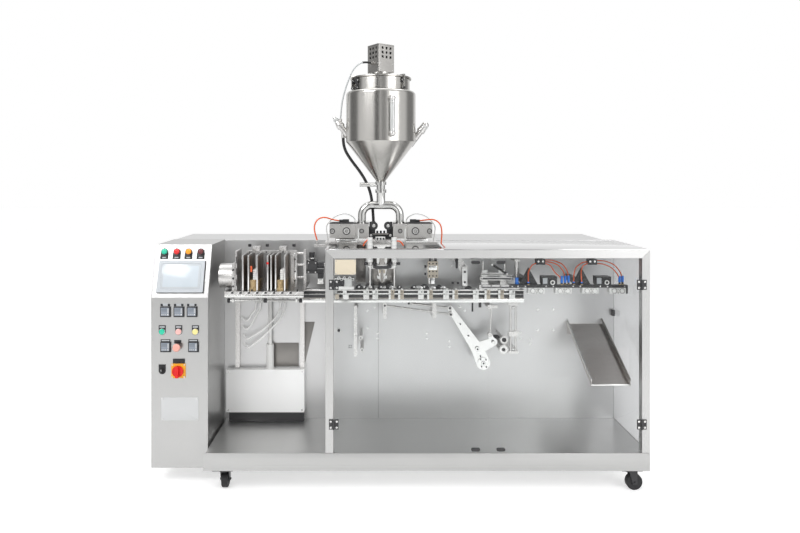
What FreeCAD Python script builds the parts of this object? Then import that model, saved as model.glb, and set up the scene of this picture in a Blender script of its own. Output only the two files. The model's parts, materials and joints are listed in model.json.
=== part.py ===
import FreeCAD, Part
import math
import os

V = FreeCAD.Vector
os.makedirs("parts", exist_ok=True)

# Lengths along the machine, in millimetres. X runs to the right, Y to the back, Z up from the floor.
CONSOLE_WIDTH = 294.0
TABLE_GAP = 68.0
TABLE_LENGTH = 417.0
TRACK_LAP = 18.0
PIPE_FROM_TRACK = 426.4
OPENER_PITCH = 279.6
BRACKET_PITCH = 150.0
SEAL_PITCH = 103.0
SEAL_LENGTH = 221.0
TRACK_END = 24.0
COOL_LAP = 91.0
COOL_LENGTH = 623.0
COOL_END = 33.0
LENGTH = (CONSOLE_WIDTH + TABLE_GAP + TABLE_LENGTH - TRACK_LAP + PIPE_FROM_TRACK + OPENER_PITCH + BRACKET_PITCH
          + SEAL_PITCH + SEAL_LENGTH + TRACK_END - COOL_LAP + COOL_LENGTH + COOL_END)
DEPTH = 880.0
HINGE_PROUD = 11.0
RIGHT = LENGTH / 2
LEFT = -RIGHT
BACK = DEPTH / 2
FRONT = -BACK + HINGE_PROUD
CONSOLE_RIGHT = LEFT + CONSOLE_WIDTH
TABLE_LEFT = CONSOLE_RIGHT + TABLE_GAP
TABLE_RIGHT = TABLE_LEFT + TABLE_LENGTH
TRACK_LEFT = TABLE_RIGHT - TRACK_LAP
PIPE_X = TRACK_LEFT + PIPE_FROM_TRACK
OPENER_X = PIPE_X + OPENER_PITCH
BRACKET_X = OPENER_X + BRACKET_PITCH
SEAL_LEFT = BRACKET_X + SEAL_PITCH
SEAL_RIGHT = SEAL_LEFT + SEAL_LENGTH
TRACK_RIGHT = SEAL_RIGHT + TRACK_END
COOL_LEFT = TRACK_RIGHT - COOL_LAP
COOL_RIGHT = COOL_LEFT + COOL_LENGTH
DECK_LEFT = PIPE_X - 302.4
DECK_RIGHT = DECK_LEFT + 605.0
GUARD_LEFT = DECK_LEFT + 21.0

# Base pan and rear cabinet
UNDERSIDE = 118.0
PAN_HEIGHT = 90.0
PAN_WALL = 4.0
PAN_LEFT = LEFT + 306.0
PAN_TOP = UNDERSIDE + PAN_HEIGHT
WALL = FRONT + 465.0
WALL_PLATE = 20.0
CABINET_TOP = 1228.0
CABINET_INSET = 60.0
WALL_INSET = 5.0
COVER_THICK = 3.0
COVER_MARGIN = 55.0
COVER_GAP = 60.0
SEAM_FROM_DECK = 30.0
SEAM_WIDTH = 3.0
SEAM_DEPTH = 2.0

# Control console
CONSOLE_SETBACK = 100.0
CONSOLE_BOTTOM = 88.0
CONSOLE_FOLD = 966.0
CONSOLE_TOP = CABINET_TOP + 4.0
CONSOLE_LEAN = 86.0
CONSOLE_FRONT = FRONT + CONSOLE_SETBACK

# Touch screen on the sloped panel
SCREEN_WIDTH = 240.0
SCREEN_HEIGHT = 166.0
SCREEN_PROUD = 14.0
SCREEN_BORDER = 17.0
SCREEN_RECESS = 2.0
SCREEN_CENTRE = 108.0

# Lamps, controllers and buttons
LAMP_RADIUS = 14.0
LAMP_LENS = 10.5
LAMP_PROUD = 16.0
LAMP_UP = 240.0
LAMP_FROM_LEFT = (47.0, 112.0, 174.0, 238.0)
CONTROLLER_SIZE = 50.0
CONTROLLER_PROUD = 7.0
CONTROLLER_WINDOW = 17.0
UPPER_CONTROLLERS = (74.0, 143.0, 211.0)
LOWER_CONTROLLERS = (75.0, 218.0)
UPPER_ROW = 895.0
LOWER_ROW = 714.0
BUTTON_RING = 15.0
BUTTON_CAP = 11.0
BUTTON_ROW = 792.0
BUTTONS_FROM_LEFT = (58.0, 143.0, 229.0)
TAG_HEIGHT = 16.0
TAG_WIDTH = 44.0
TAG_PROUD = 1.5
SELECTOR_FROM_LEFT = 58.0
SWITCH_FROM_LEFT = 142.0
SWITCH_ROW = 590.0
SWITCH_PLATE = 73.0
SWITCH_PLATE_THICK = 3.0
SWITCH_BOSS = 10.0
KNOB_RADIUS = 29.0
KNOB_CLEARANCE = 0.3
STOP_FROM_LEFT = 138.0
STOP_RADIUS = 20.0
STOP_COLLAR = 15.0
STOP_COLLAR_LENGTH = 13.0
STOP_STEM = 8.0
STOP_STEM_CLEARANCE = 0.4
STOP_TRAVEL = 5.0

# Guard frame and doors
TUBE = 40.0
GUARD_TOP = CABINET_TOP - 6.0
PANEL_THICK = 5.0
DOOR_THICK = 8.0
DOOR_GAP = 5.0
DOOR_SPLIT = GUARD_LEFT + 814.0
HINGE_LEAF = 24.0
HINGE_LEAF_THICK = 4.0
HINGE_HEIGHT = 50.0
HINGE_BARREL = 5.0
HINGE_PIN = 2.5
HINGE_PIN_CLEARANCE = 0.3
HINGE_KNUCKLE = 12.0
HINGE_FROM_TOP = 127.0
HINGE_FROM_BOTTOM = 139.0
CATCH_LENGTH = 44.0
CATCH_HEIGHT = 16.0
CATCH_PROUD = 9.0
CATCH_FROM_SPLIT = 63.0
CATCH_FROM_END = 15.0
WINDOW_LEFT = RIGHT - 323.0
WINDOW_WIDTH = 223.0
WINDOW_BOTTOM = 538.0
WINDOW_HEIGHT = 197.0
WINDOW_CORNER = 8.0
PASS_DEPTH = 130.0
PASS_EDGE = 8.0
HOSE_HOLE_RADIUS = 12.0

# Depth lines of the machinery inside
TRACK_Y = FRONT + 300.0
COOL_Y = FRONT + 215.0
MAGAZINE_FRONT = FRONT + 170.0
MAGAZINE_DEPTH = 190.0

# Bag magazine
TABLE_TOP = CABINET_TOP - 243.0
TABLE_THICK = 8.0
TABLE_LIP = 31.0
TABLE_LEG = 25.0
PLATE_THICK = 6.0
MAGAZINE_TOP = TABLE_TOP + 190.0
MAGAZINE_PLATES = tuple(TABLE_LEFT + step for step in (92.0, 121.0, 167.0, 223.0, 241.0, 265.0, 313.0))
BRASS_STACKS = (TABLE_LEFT + 145.0, TABLE_LEFT + 289.0)
BRASS_WIDTH = 34.0
ROD_RADIUS = 6.0
MAGAZINE_RODS = (MAGAZINE_TOP - 5.0, MAGAZINE_TOP - 69.0, MAGAZINE_TOP - 137.0)
SUPPORT_LEFT = TABLE_RIGHT - 85.0
SUPPORT_WIDTH = 34.0
WHITE_POST = 14.0
DRUM_RADIUS = 66.0
DRUM_LEFT = TABLE_LEFT - 38.0
DRUM_LENGTH = 74.0
DRUM_FLANGE = 14.0

# Cover box, pole and vacuum manifold at the wall
BOX_LEFT = CONSOLE_RIGHT + 22.0
BOX_RIGHT = BOX_LEFT + 439.0
BOX_BOTTOM = PAN_TOP + 51.0
BOX_TOP = BOX_BOTTOM + 240.0
BOX_DEPTH = 48.0
PLINTH_INSET = 16.0
POLE_X = BOX_LEFT + 244.0
POLE_RADIUS = 10.5
POLE_SLEEVE = 21.0
POLE_SLEEVE_TOP = BOX_TOP + 141.0
MANIFOLD_Z = TABLE_TOP - 80.0
MANIFOLD_THICK = 14.0
SUCTION_PORTS = (POLE_X - 80.0, POLE_X - 55.0, POLE_X + 60.0, POLE_X + 85.0)
SUCTION_RADIUS = 9.0

# Gripper track
TRACK_BOTTOM = TABLE_TOP - 78.0
TRACK_TOP = TABLE_TOP - TABLE_THICK
TRACK_BACK = 12.0
TRACK_FLANGE = 40.0
TRACK_BAR = 8.0
TRACK_ARMS = tuple(TRACK_LEFT + step for step in (84.0, 464.0, 834.0, 1114.0))
PAD_WIDTH = 21.0
PAD_STEPS = (179.0, 231.0, 342.0, 391.0, 479.0, 530.0, 638.0, 687.0, 774.0, 824.0, 935.0, 998.0,
             1072.0, 1132.0)
PAD_CENTRES = tuple(TRACK_LEFT + step for step in PAD_STEPS)
PAD_DEEP = 16.0

# Dosing station and product pipe
PIPE_RADIUS = 23.8
BRANCH_HALF = 103.4
BRANCH_RADIUS = 22.5
BEND_RADIUS = 55.0
DECK_THICK = 12.0
DECK_BOTTOM = CABINET_TOP
DECK_TOP = DECK_BOTTOM + DECK_THICK
DECK_FRONT = TRACK_Y - 75.0
PUMP_TOP = DECK_TOP + 100.0
BRANCH_Z = PUMP_TOP + 95.0
PUMP_WIDTH = 136.0
VALVE_WIDTH = 76.0
PUMP_DEEP = 110.0
PUMP_PORTS = ((44.0, 20.0), (120.0, 14.0), (-38.0, 12.0))
PUMP_FOOT = 105.0
PUMP_RAISED = 20.0
VALVE_RAISED = 17.0
PUMP_ROUND = 3.0
PORT_DROP = 42.0
VALVE_BODY = 34.0
UNION_RADIUS = 22.0
UNION_BORE = 10.0
UNION_LAP = 7.0
LOWER_BLOCK = 60.0
LOWER_REACH = 86.0
LOWER_LAP = 10.0
NOZZLE_SHIFT = 7.6
NOZZLE_HALF = 66.5
NOZZLE_RADIUS = 15.0
NOZZLE_TUBE = 5.0
NOZZLE_RISE = 14.0
NOZZLE_WING = 27.0
NOZZLE_TIP = TRACK_TOP + 6.0
NOZZLE_SHOULDER = NOZZLE_TIP + 101.0

# Hopper
OUTLET_TOP = BRANCH_Z + 129.0
HOPPER_RADIUS = 190.0
HOPPER_BOTTOM = OUTLET_TOP + 215.0
HOPPER_SHOULDER = HOPPER_BOTTOM + 274.0
HOPPER_NECK = 158.0
HOPPER_RIM = HOPPER_SHOULDER + 68.0
HOPPER_WALL = 3.0
SHOULDER_ROUND = 20.0
LID_THICK = 6.0
LID_OVERHANG = 8.0
MOTOR_BOTTOM = HOPPER_RIM + 35.0
MOTOR_TOP = MOTOR_BOTTOM + 151.0
MOTOR_SIDE = 104.0
MOTOR_TURN = 36.0
GLAND_LENGTH = 18.0
GLAND_UP = 50.0
LID_CLAMPS = (203.0, 264.0, 316.0, 90.0)
SIGHT_OFFSET = 58.0
SIGHT_RADIUS = 13.0
SIGHT_BOSS = 17.0
SIGHT_STANDOFF = 18.0
PIPE_CLAMPS = (BRANCH_Z + 77.0, BRANCH_Z + 120.0)
CLAMP_RADIUS = 31.0
HANDLE_LENGTH = 116.0
HANDLE_RADIUS = 11.0
HANDLE_Z = BRANCH_Z + 112.0
STUB_RADIUS = 17.0
STUB_COLLAR = 100.0
STUB_ROOTS = {-1: 8.0, 1: -17.0}
STUB_ENDS = {-1: 158.0, 1: 137.0}
STUB_TIPS = {-1: 8.0, 1: 20.0}
CONDUIT = 16.0
LEAD = 8.0
TUBE_SIZE = 8.0
SMALL_TUBE = 6.0
STUB_TILT = 37.0

# Bag pick-up head beside the magazine
PICKUP_ARM = 96.0
PICKUP_BASE = TABLE_TOP + 75.0
PICKUP_BODY = 54.0
PICKUP_BODY_HEIGHT = 48.0
PICKUP_BARREL = 17.0
PICKUP_UPPER = 15.0
PICKUP_JAW = 25.0

# Stations that hang from arms high on the back wall
ARM_THICK = 20.0
ARM_TOP = GUARD_TOP - 34.0
OPENER_ARM = 78.0
OPENER_RODS = (-14.0, 8.0)
OPENER_ROD_RADIUS = 8.0
OPENER_ROD_END = TRACK_TOP + 29.0
OPENER_CLAMP_BOTTOM = TRACK_TOP + 75.0
OPENER_CLAMP_HEIGHT = 48.0
BRACKET_ARM = 70.0
BRACKET_DROP = 108.0
BRACKET_WIDTH = 26.0
BRACKET_FOOT = TRACK_TOP + 19.0

# Lever, links and guide rods below the track, as x and z of their centres
LINK_Y = TRACK_Y + 5.0
CRANK_THICK = 10.0
CRANK_TOP = (TRACK_LEFT + 809.0, TRACK_BOTTOM - 43.0)
CRANK_ELBOW = (TRACK_LEFT + 957.0, TRACK_BOTTOM - 263.0)
CRANK_SHAFT = (TRACK_LEFT + 990.0, TRACK_BOTTOM - 341.0)
CRANK_EYE = (TRACK_LEFT + 1045.0, TRACK_BOTTOM - 225.0)
CRANK_LUG = (TRACK_LEFT + 1024.0, TRACK_BOTTOM - 183.0)
CRANK_TOP_RADIUS = 15.0
CRANK_ELBOW_RADIUS = 32.0
CRANK_FOOT_RADIUS = 38.0
CRANK_EYE_RADIUS = 22.0
CRANK_LUG_RADIUS = 11.0
CRANK_SHAFT_RADIUS = 22.0
CRANK_FLANGE = 5.0
TRACK_DROPS = (TRACK_LEFT + 448.0, TRACK_LEFT + 719.0)
DROP_WIDTH = 22.0
DROP_BOTTOM = TRACK_BOTTOM - 91.0
DROP_TOP = TRACK_BOTTOM - 5.0
LINK_RADIUS = 6.0
LINK_EYE = 12.0
LINK_EYE_THICK = 12.0
LINK_ENDS = ((TRACK_LEFT + 809.0, TRACK_BOTTOM - 70.0), (TRACK_LEFT + 804.0, TRACK_BOTTOM - 35.0))
LINK_STARTS = ((TRACK_LEFT + 448.0, TRACK_BOTTOM - 21.0), (TRACK_LEFT + 579.0, TRACK_BOTTOM - 9.0))
LIFT_TOP = (TRACK_LEFT + 1034.0, TRACK_BOTTOM - 23.0)
PIVOT = (TRACK_LEFT + 1020.0, TRACK_BOTTOM - 27.0)
PIVOT_RADIUS = 13.0
GUIDE_RODS = (TRACK_LEFT + 1138.0, TRACK_LEFT + 1166.0)
GUIDE_BOTTOM = TRACK_BOTTOM - 285.0
GUIDE_TOP = TRACK_BOTTOM - 6.0
GUIDE_CLAMP = 14.0
LIGHT_BAR_X = TRACK_LEFT + 279.0
LIGHT_BAR_WIDTH = 18.0
LIGHT_BAR_BOTTOM = TRACK_BOTTOM - 301.0
LIGHT_BAR_TOP = TRACK_BOTTOM - 22.0
HAND_KNOB = (TRACK_LEFT + 1094.0, TRACK_BOTTOM - 201.0)
HAND_KNOB_RADIUS = 20.0
DRIVE_HUB = (TRACK_LEFT + 1098.0, TRACK_BOTTOM - 262.0)
DRIVE_HUB_RADIUS = 24.0
ROLLERS = ((TRACK_LEFT + 317.0, TRACK_BOTTOM - 197.0), (TRACK_LEFT + 324.0, TRACK_BOTTOM - 263.0))
ROLLER_RADIUS = 11.0

# Sealing station: left end, right end, bottom and height of each bar
SEAL_UPPER = (SEAL_LEFT + 13.0, SEAL_LEFT + 145.0, TRACK_TOP + 77.0, 14.0)
SEAL_MIDDLE = (SEAL_LEFT + 7.0, SEAL_LEFT + 185.0, TRACK_TOP + 51.0, 18.0)
SEAL_LOWER = (SEAL_LEFT, SEAL_RIGHT, TRACK_TOP + 4.0, 23.0)
SEAL_TIES = (SEAL_LEFT + 31.0, SEAL_LEFT + 133.0)
SEAL_TIE_WIDTH = 32.0
SEAL_ARM = (SEAL_LEFT + 45.0, SEAL_LEFT + 105.0)
SEAL_ROUND = 3.0
SEAL_CYLINDER_X = SEAL_RIGHT - 10.0
SEAL_CYLINDER_RADIUS = 12.0
SEAL_CYLINDER_TOP = TRACK_TOP + 151.0

# Cooling station
COOL_BAR_BOTTOM = TABLE_TOP + 15.0
COOL_BAR_HEIGHT = 15.0
HEAD_WIDTH = 86.0
HEAD_HEIGHT = 30.0
HEAD_DEEP = 40.0
FIRST_HEAD = 138.0
LAST_HEAD = 54.0
HEAD_PITCH = (COOL_LENGTH - FIRST_HEAD - LAST_HEAD) / 3
HEAD_CENTRES = tuple(COOL_LEFT + FIRST_HEAD + index * HEAD_PITCH for index in range(4))
LEVER_BOXES = (HEAD_CENTRES[0] + HEAD_PITCH / 2, HEAD_CENTRES[2] + HEAD_PITCH / 2)
LEVER_BOX_WIDTH = 80.0
LEVER_BOX_HEIGHT = 44.0
GUSSETS = (HEAD_CENTRES[0] - 37.0, HEAD_CENTRES[2] - 42.0)
GUSSET_WIDTH = 100.0
GUSSET_HEIGHT = 92.0
AIR_BLOCKS = (HEAD_CENTRES[0] + 24.0, HEAD_CENTRES[2] + 12.0)
BLOCK_REACH = 24.0
BLOCK_HEIGHT = 30.0
COOL_TOP = COOL_BAR_BOTTOM + COOL_BAR_HEIGHT
BLOCK_BOTTOM = COOL_TOP + 107.0
FITTING_HEIGHT = 14.0
FITTING_RADIUS = 5.5
FITTINGS = ((HEAD_CENTRES[0] - 41.0, -9.0), (HEAD_CENTRES[1] - 7.0, -9.0), (HEAD_CENTRES[1] + 14.0, 0.0),
            (HEAD_CENTRES[1] + 35.0, 9.0), (HEAD_CENTRES[2] - 84.0, 0.0), (HEAD_CENTRES[2] - 44.0, -9.0),
            (HEAD_CENTRES[3] + 14.0, -9.0), (HEAD_CENTRES[3] + 34.0, 3.0))

# Chute
CHUTE_LEFT = RIGHT - 275.0
CHUTE_WIDTH = 203.0
CHUTE_TOP = CABINET_TOP - 478.0
CHUTE_DROP = 222.0
CHUTE_FRONT = FRONT + 60.0
CHUTE_LIP = 28.0
CHUTE_SHEET = 3.0

# Casters
WHEEL_RADIUS = 41.0
WHEEL_WIDTH = 32.0
AXLE_RADIUS = 6.0
AXLE_CLEARANCE = 0.2
FORK_GAP = 38.0
FORK_SHEET = 4.0
FORK_TRAIL = 26.0
FORK_CLEARANCE = 0.3
CASTER_PLATE = 105.0
CASTER_PLATE_THICK = 6.0
RACE_RADIUS = 30.0
RACE_HEIGHT = 10.0
KINGPIN_RADIUS = 6.0
KINGPIN_HEAD = 11.0
KINGPIN_HEAD_THICK = 5.0
CASTER_LEFT = PAN_LEFT + 83.0
CASTER_RIGHT = RIGHT - 85.0
CASTER_REAR_RIGHT = RIGHT - CABINET_INSET - 62.0
CASTER_FRONT = FRONT + 60.0
CASTER_BACK = BACK - 70.0


def box(x0, x1, y0, y1, z0, z1):
    return Part.makeBox(x1 - x0, y1 - y0, z1 - z0, V(x0, y0, z0))


def rod(start, end, radius):
    """A round bar from one point to another."""
    run = V(*end) - V(*start)
    return Part.makeCylinder(radius, run.Length, V(*start), run)


def ring(start, end, radius, bore):
    return rod(start, end, radius).cut(rod(start, end, bore))


def join(shapes):
    return shapes[0].multiFuse(shapes[1:]).removeSplitter()


def group(shapes):
    return Part.makeCompound(shapes)


def prism(points, direction):
    """A flat outline pushed along a direction."""
    corners = [V(*p) for p in points]
    return Part.Face(Part.makePolygon(corners + corners[:1])).extrude(V(*direction))


def rounded_plate(x0, x1, z0, z1, corner, y0, y1):
    """An upright plate with four round corners."""
    plate = box(x0, x1, y0, y1, z0, z1)
    edges = [e for e in plate.Edges if abs(e.tangentAt(e.FirstParameter).y) > 0.99]
    return plate.makeFillet(corner, edges)


def spun(points, x, y):
    """A profile of radius and height pairs turned about an upright axis."""
    corners = [V(x + radius, y, height) for radius, height in points]
    face = Part.Face(Part.makePolygon(corners + corners[:1]))
    return face.revolve(V(x, y, 0), V(0, 0, 1), 360)


def save(name, shape):
    shape.exportStep("parts/" + name + ".step")


# Places on the console: u runs to the right from its left side, v runs up.
SLOPE_LENGTH = math.hypot(CONSOLE_LEAN, CONSOLE_TOP - CONSOLE_FOLD)
SLOPE_ANGLE = math.degrees(math.atan2(CONSOLE_TOP - CONSOLE_FOLD, CONSOLE_LEAN))


def on_slope(shape, u, v):
    along = V(0, CONSOLE_LEAN, CONSOLE_TOP - CONSOLE_FOLD) * (v / SLOPE_LENGTH)
    spot = V(LEFT + u, CONSOLE_FRONT, CONSOLE_FOLD) + along
    placed = shape.copy()
    placed.Placement = FreeCAD.Placement(spot, FreeCAD.Rotation(V(1, 0, 0), SLOPE_ANGLE))
    return placed


def on_front(shape, u, z):
    placed = shape.copy()
    spot = V(LEFT + u, CONSOLE_FRONT, z)
    placed.Placement = FreeCAD.Placement(spot, FreeCAD.Rotation(V(1, 0, 0), 90))
    return placed


def stub_point(side, distance):
    """A point on the axis of a side stub, so far out from its root."""
    tilt = math.radians(STUB_TILT)
    root = V(PIPE_X + side * (HOPPER_RADIUS - 30), TRACK_Y, HOPPER_BOTTOM + STUB_ROOTS[side])
    return root + V(side * math.sin(tilt), 0, math.cos(tilt)) * distance


def beside_pipe(steps):
    """Points given by their distance from the product pipe at the top of the pumps."""
    return [(PIPE_X + dx, TRACK_Y, PUMP_TOP + dz) for dx, dz in steps]


# Ends and routes of the free hoses and leads, as points chosen by hand.
GLAND_REACH = MOTOR_SIDE / 2 + GLAND_LENGTH
GLAND_TIP = V(PIPE_X - GLAND_REACH * math.cos(math.radians(MOTOR_TURN)),
              TRACK_Y - GLAND_REACH * math.sin(math.radians(MOTOR_TURN)), MOTOR_BOTTOM + GLAND_UP)
LEAD_END = stub_point(-1, 100) + V(0, 0, 40)
CONDUIT_START = stub_point(-1, 76) - V(0, 0, 46)
CONDUIT_END = V(PIPE_X - 40.4, TRACK_Y + 48, PUMP_TOP + 5)
SENSOR_CONDUIT = [tuple(CONDUIT_START), (-283, -128, 1752), (-243, -120, 1684), (-180, -106, 1604),
                  (-138, -90, 1522), (-122, -82, 1432), tuple(CONDUIT_END)]
MOTOR_LEAD = [tuple(GLAND_TIP), (-158.9, -188, 2206), (-192, -203, 2198), (-226, -208, 2166),
              (-250, -205, 2112), (-273, -187, 2050), (-292, -151, 1980), tuple(LEAD_END)]
LEFT_HOSE = beside_pipe([(-227.4, 10), (-262.4, 14), (-305.4, 31), (-346.4, 20), (-365.4, -18),
                         (-360.4, -59), (-348.4, -96)])
RIGHT_HOSE = beside_pipe([(212.6, 10), (249.6, 15), (293.6, 18), (326.6, -7), (334.6, -50), (331.6, -96),
                          (327.6, -140)])

# Places of the doors and their hinges
DOOR_BOTTOM = PAN_TOP + DOOR_GAP
DOOR_TOP = GUARD_TOP - TUBE - DOOR_GAP
LEFT_HINGE_X = GUARD_LEFT + TUBE + DOOR_GAP / 2
RIGHT_HINGE_X = RIGHT - TUBE - DOOR_GAP / 2
HINGE_Y = FRONT - HINGE_PROUD + HINGE_BARREL
HINGE_LEVELS = (DOOR_TOP - HINGE_FROM_TOP, DOOR_BOTTOM + HINGE_FROM_BOTTOM)


def make_base_pan():
    outer = box(PAN_LEFT, RIGHT, FRONT, WALL, UNDERSIDE, PAN_TOP)
    hollow = box(PAN_LEFT + PAN_WALL, RIGHT - PAN_WALL, FRONT + PAN_WALL, WALL - PAN_WALL,
                 UNDERSIDE, PAN_TOP - PAN_WALL)
    seats = [box(x - CASTER_PLATE / 2 - 8, x + CASTER_PLATE / 2 + 8, FRONT + PAN_WALL,
                 WALL - PAN_WALL, UNDERSIDE, PAN_TOP - PAN_WALL) for x in (CASTER_LEFT, CASTER_RIGHT)]
    return join([outer.cut(hollow)] + seats)


def make_rear_cabinet():
    right = RIGHT - CABINET_INSET
    rear = BACK - COVER_THICK
    housing = box(LEFT, right, WALL + WALL_PLATE, rear, UNDERSIDE, CABINET_TOP)
    plate = box(CONSOLE_RIGHT, RIGHT - WALL_INSET, WALL, WALL + WALL_PLATE, UNDERSIDE, CABINET_TOP)
    middle = (LEFT + right) / 2
    covers = [box(x0, x1, rear, BACK, UNDERSIDE + COVER_MARGIN, CABINET_TOP - COVER_MARGIN)
              for x0, x1 in ((LEFT + COVER_MARGIN, middle - COVER_GAP / 2),
                             (middle + COVER_GAP / 2, right - COVER_MARGIN))]
    seam = box(DECK_RIGHT + SEAM_FROM_DECK, DECK_RIGHT + SEAM_FROM_DECK + SEAM_WIDTH, WALL, rear,
               CABINET_TOP - SEAM_DEPTH, CABINET_TOP)
    return join([housing, plate] + covers).cut(seam)


def make_console():
    outline = [(LEFT, CONSOLE_FRONT, CONSOLE_BOTTOM), (LEFT, CONSOLE_FRONT, CONSOLE_FOLD),
               (LEFT, CONSOLE_FRONT + CONSOLE_LEAN, CONSOLE_TOP), (LEFT, WALL + WALL_PLATE, CONSOLE_TOP),
               (LEFT, WALL + WALL_PLATE, CONSOLE_BOTTOM)]
    return prism(outline, (CONSOLE_WIDTH, 0, 0))


def make_touch_screen():
    half_w, half_h = SCREEN_WIDTH / 2, SCREEN_HEIGHT / 2
    bezel = box(-half_w, half_w, -half_h, half_h, 0, SCREEN_PROUD)
    bezel = bezel.makeFillet(5, [e for e in bezel.Edges if abs(e.tangentAt(0).z) > 0.99])
    glass = box(-half_w + SCREEN_BORDER, half_w - SCREEN_BORDER, -half_h + SCREEN_BORDER,
                half_h - SCREEN_BORDER, SCREEN_PROUD - SCREEN_RECESS, SCREEN_PROUD)
    return on_slope(bezel.cut(glass), CONSOLE_WIDTH / 2, SCREEN_CENTRE)


def make_pilot_lamps():
    bezel = rod((0, 0, 0), (0, 0, LAMP_PROUD / 2), LAMP_RADIUS)
    lens = rod((0, 0, 0), (0, 0, LAMP_PROUD), LAMP_LENS)
    lens = lens.makeFillet(4, [e for e in lens.Edges if e.BoundBox.ZMin > LAMP_PROUD - 0.1])
    lamp = join([bezel, lens])
    return group([on_slope(lamp, u, LAMP_UP) for u in LAMP_FROM_LEFT])


def make_controllers():
    half = CONTROLLER_SIZE / 2
    unit = box(-half, half, -half, half, 0, CONTROLLER_PROUD)
    unit = unit.makeChamfer(1.5, [e for e in unit.Edges if e.BoundBox.ZMin > CONTROLLER_PROUD - 0.1])
    window = box(-half + 6, half - 6, half - 6 - CONTROLLER_WINDOW, half - 6,
                 CONTROLLER_PROUD - 1.5, CONTROLLER_PROUD)
    unit = unit.cut(window)
    upper = [on_front(unit, u, UPPER_ROW) for u in UPPER_CONTROLLERS]
    lower = [on_front(unit, u, LOWER_ROW) for u in LOWER_CONTROLLERS]
    return group(upper + lower)


def tag(above):
    half = TAG_WIDTH / 2
    return box(-half, half, above, above + TAG_HEIGHT, 0, TAG_PROUD)


def make_control_bezels():
    collar = rod((0, 0, 0), (0, 0, 4), BUTTON_RING)
    cap = rod((0, 0, 0), (0, 0, 10), BUTTON_CAP)
    button = join([collar, cap, tag(BUTTON_RING - 1)])
    pieces = [on_front(button, u, BUTTON_ROW) for u in BUTTONS_FROM_LEFT]
    grip = box(-5, 5, -BUTTON_CAP, BUTTON_CAP, 0, 20)
    selector = join([collar, rod((0, 0, 0), (0, 0, 12), BUTTON_CAP), grip, tag(BUTTON_RING - 1)])
    pieces.append(on_front(selector, SELECTOR_FROM_LEFT, SWITCH_ROW))
    bore = rod((0, 0, 0), (0, 0, STOP_COLLAR_LENGTH), STOP_STEM + STOP_STEM_CLEARANCE)
    stop = rod((0, 0, 0), (0, 0, STOP_COLLAR_LENGTH), STOP_COLLAR).cut(bore)
    pieces.append(on_front(stop, STOP_FROM_LEFT, LOWER_ROW))
    half = SWITCH_PLATE / 2
    plate = box(-half, half, -half, half, 0, SWITCH_PLATE_THICK)
    boss = rod((0, 0, 0), (0, 0, SWITCH_BOSS), KNOB_RADIUS - 4)
    pieces.append(on_front(join([plate, boss, tag(half - 1)]), SWITCH_FROM_LEFT, SWITCH_ROW))
    return group(pieces)


def make_switch_knob():
    base = SWITCH_BOSS + KNOB_CLEARANCE
    disc = rod((0, 0, base), (0, 0, base + 9), KNOB_RADIUS)
    grip = box(-8, 8, -KNOB_RADIUS, KNOB_RADIUS, base, base + 26)
    hub = rod((0, 0, base), (0, 0, base + 26), KNOB_RADIUS)
    return on_front(join([disc, grip.common(hub)]), SWITCH_FROM_LEFT, SWITCH_ROW)


def make_stop_button():
    under = STOP_COLLAR_LENGTH + STOP_TRAVEL + 2
    stem = rod((0, 0, STOP_TRAVEL + 2), (0, 0, under + 4), STOP_STEM)
    head = rod((0, 0, under), (0, 0, under + 14), STOP_RADIUS)
    head = head.makeFillet(9, [e for e in head.Edges if e.BoundBox.ZMin > under + 13.9])
    return on_front(join([stem, head]), STOP_FROM_LEFT, LOWER_ROW)


def make_guard_posts():
    lower_left = GUARD_LEFT + TUBE
    lower_right = RIGHT - TUBE
    under_beam = GUARD_TOP - TUBE
    left = prism([(GUARD_LEFT, FRONT, PAN_TOP), (lower_left, FRONT, PAN_TOP),
                  (lower_left, FRONT, under_beam), (GUARD_LEFT, FRONT, GUARD_TOP)], (0, TUBE, 0))
    right = prism([(lower_right, FRONT, PAN_TOP), (RIGHT, FRONT, PAN_TOP),
                   (RIGHT, FRONT, GUARD_TOP), (lower_right, FRONT, under_beam)], (0, TUBE, 0))
    return group([left, right])


def make_guard_rails():
    under_beam = GUARD_TOP - TUBE
    beam = prism([(GUARD_LEFT + TUBE, FRONT, under_beam), (RIGHT - TUBE, FRONT, under_beam),
                  (RIGHT, FRONT, GUARD_TOP), (GUARD_LEFT, FRONT, GUARD_TOP)], (0, TUBE, 0))
    sides = [box(x, x + TUBE, FRONT + TUBE, WALL, under_beam, GUARD_TOP)
             for x in (GUARD_LEFT, RIGHT - TUBE)]
    return join([beam] + sides)


def make_guard_panels():
    top = box(GUARD_LEFT, RIGHT, FRONT, WALL, GUARD_TOP, GUARD_TOP + PANEL_THICK)
    reach = BRANCH_HALF + VALVE_WIDTH / 2 + LOWER_REACH + PASS_EDGE
    pass_through = box(PIPE_X - reach, PIPE_X + reach, TRACK_Y - PASS_DEPTH / 2, TRACK_Y + PASS_DEPTH / 2,
                       GUARD_TOP, GUARD_TOP + PANEL_THICK)
    hose_x = RIGHT_HOSE[-1][0]
    hose_hole = rod((hose_x, TRACK_Y, GUARD_TOP), (hose_x, TRACK_Y, GUARD_TOP + PANEL_THICK), HOSE_HOLE_RADIUS)
    outer = RIGHT - WALL_INSET
    side = box(outer - PANEL_THICK, outer, FRONT + TUBE, WALL, PAN_TOP, GUARD_TOP - TUBE)
    return group([top.cut(pass_through).cut(hose_hole), side])


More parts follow.
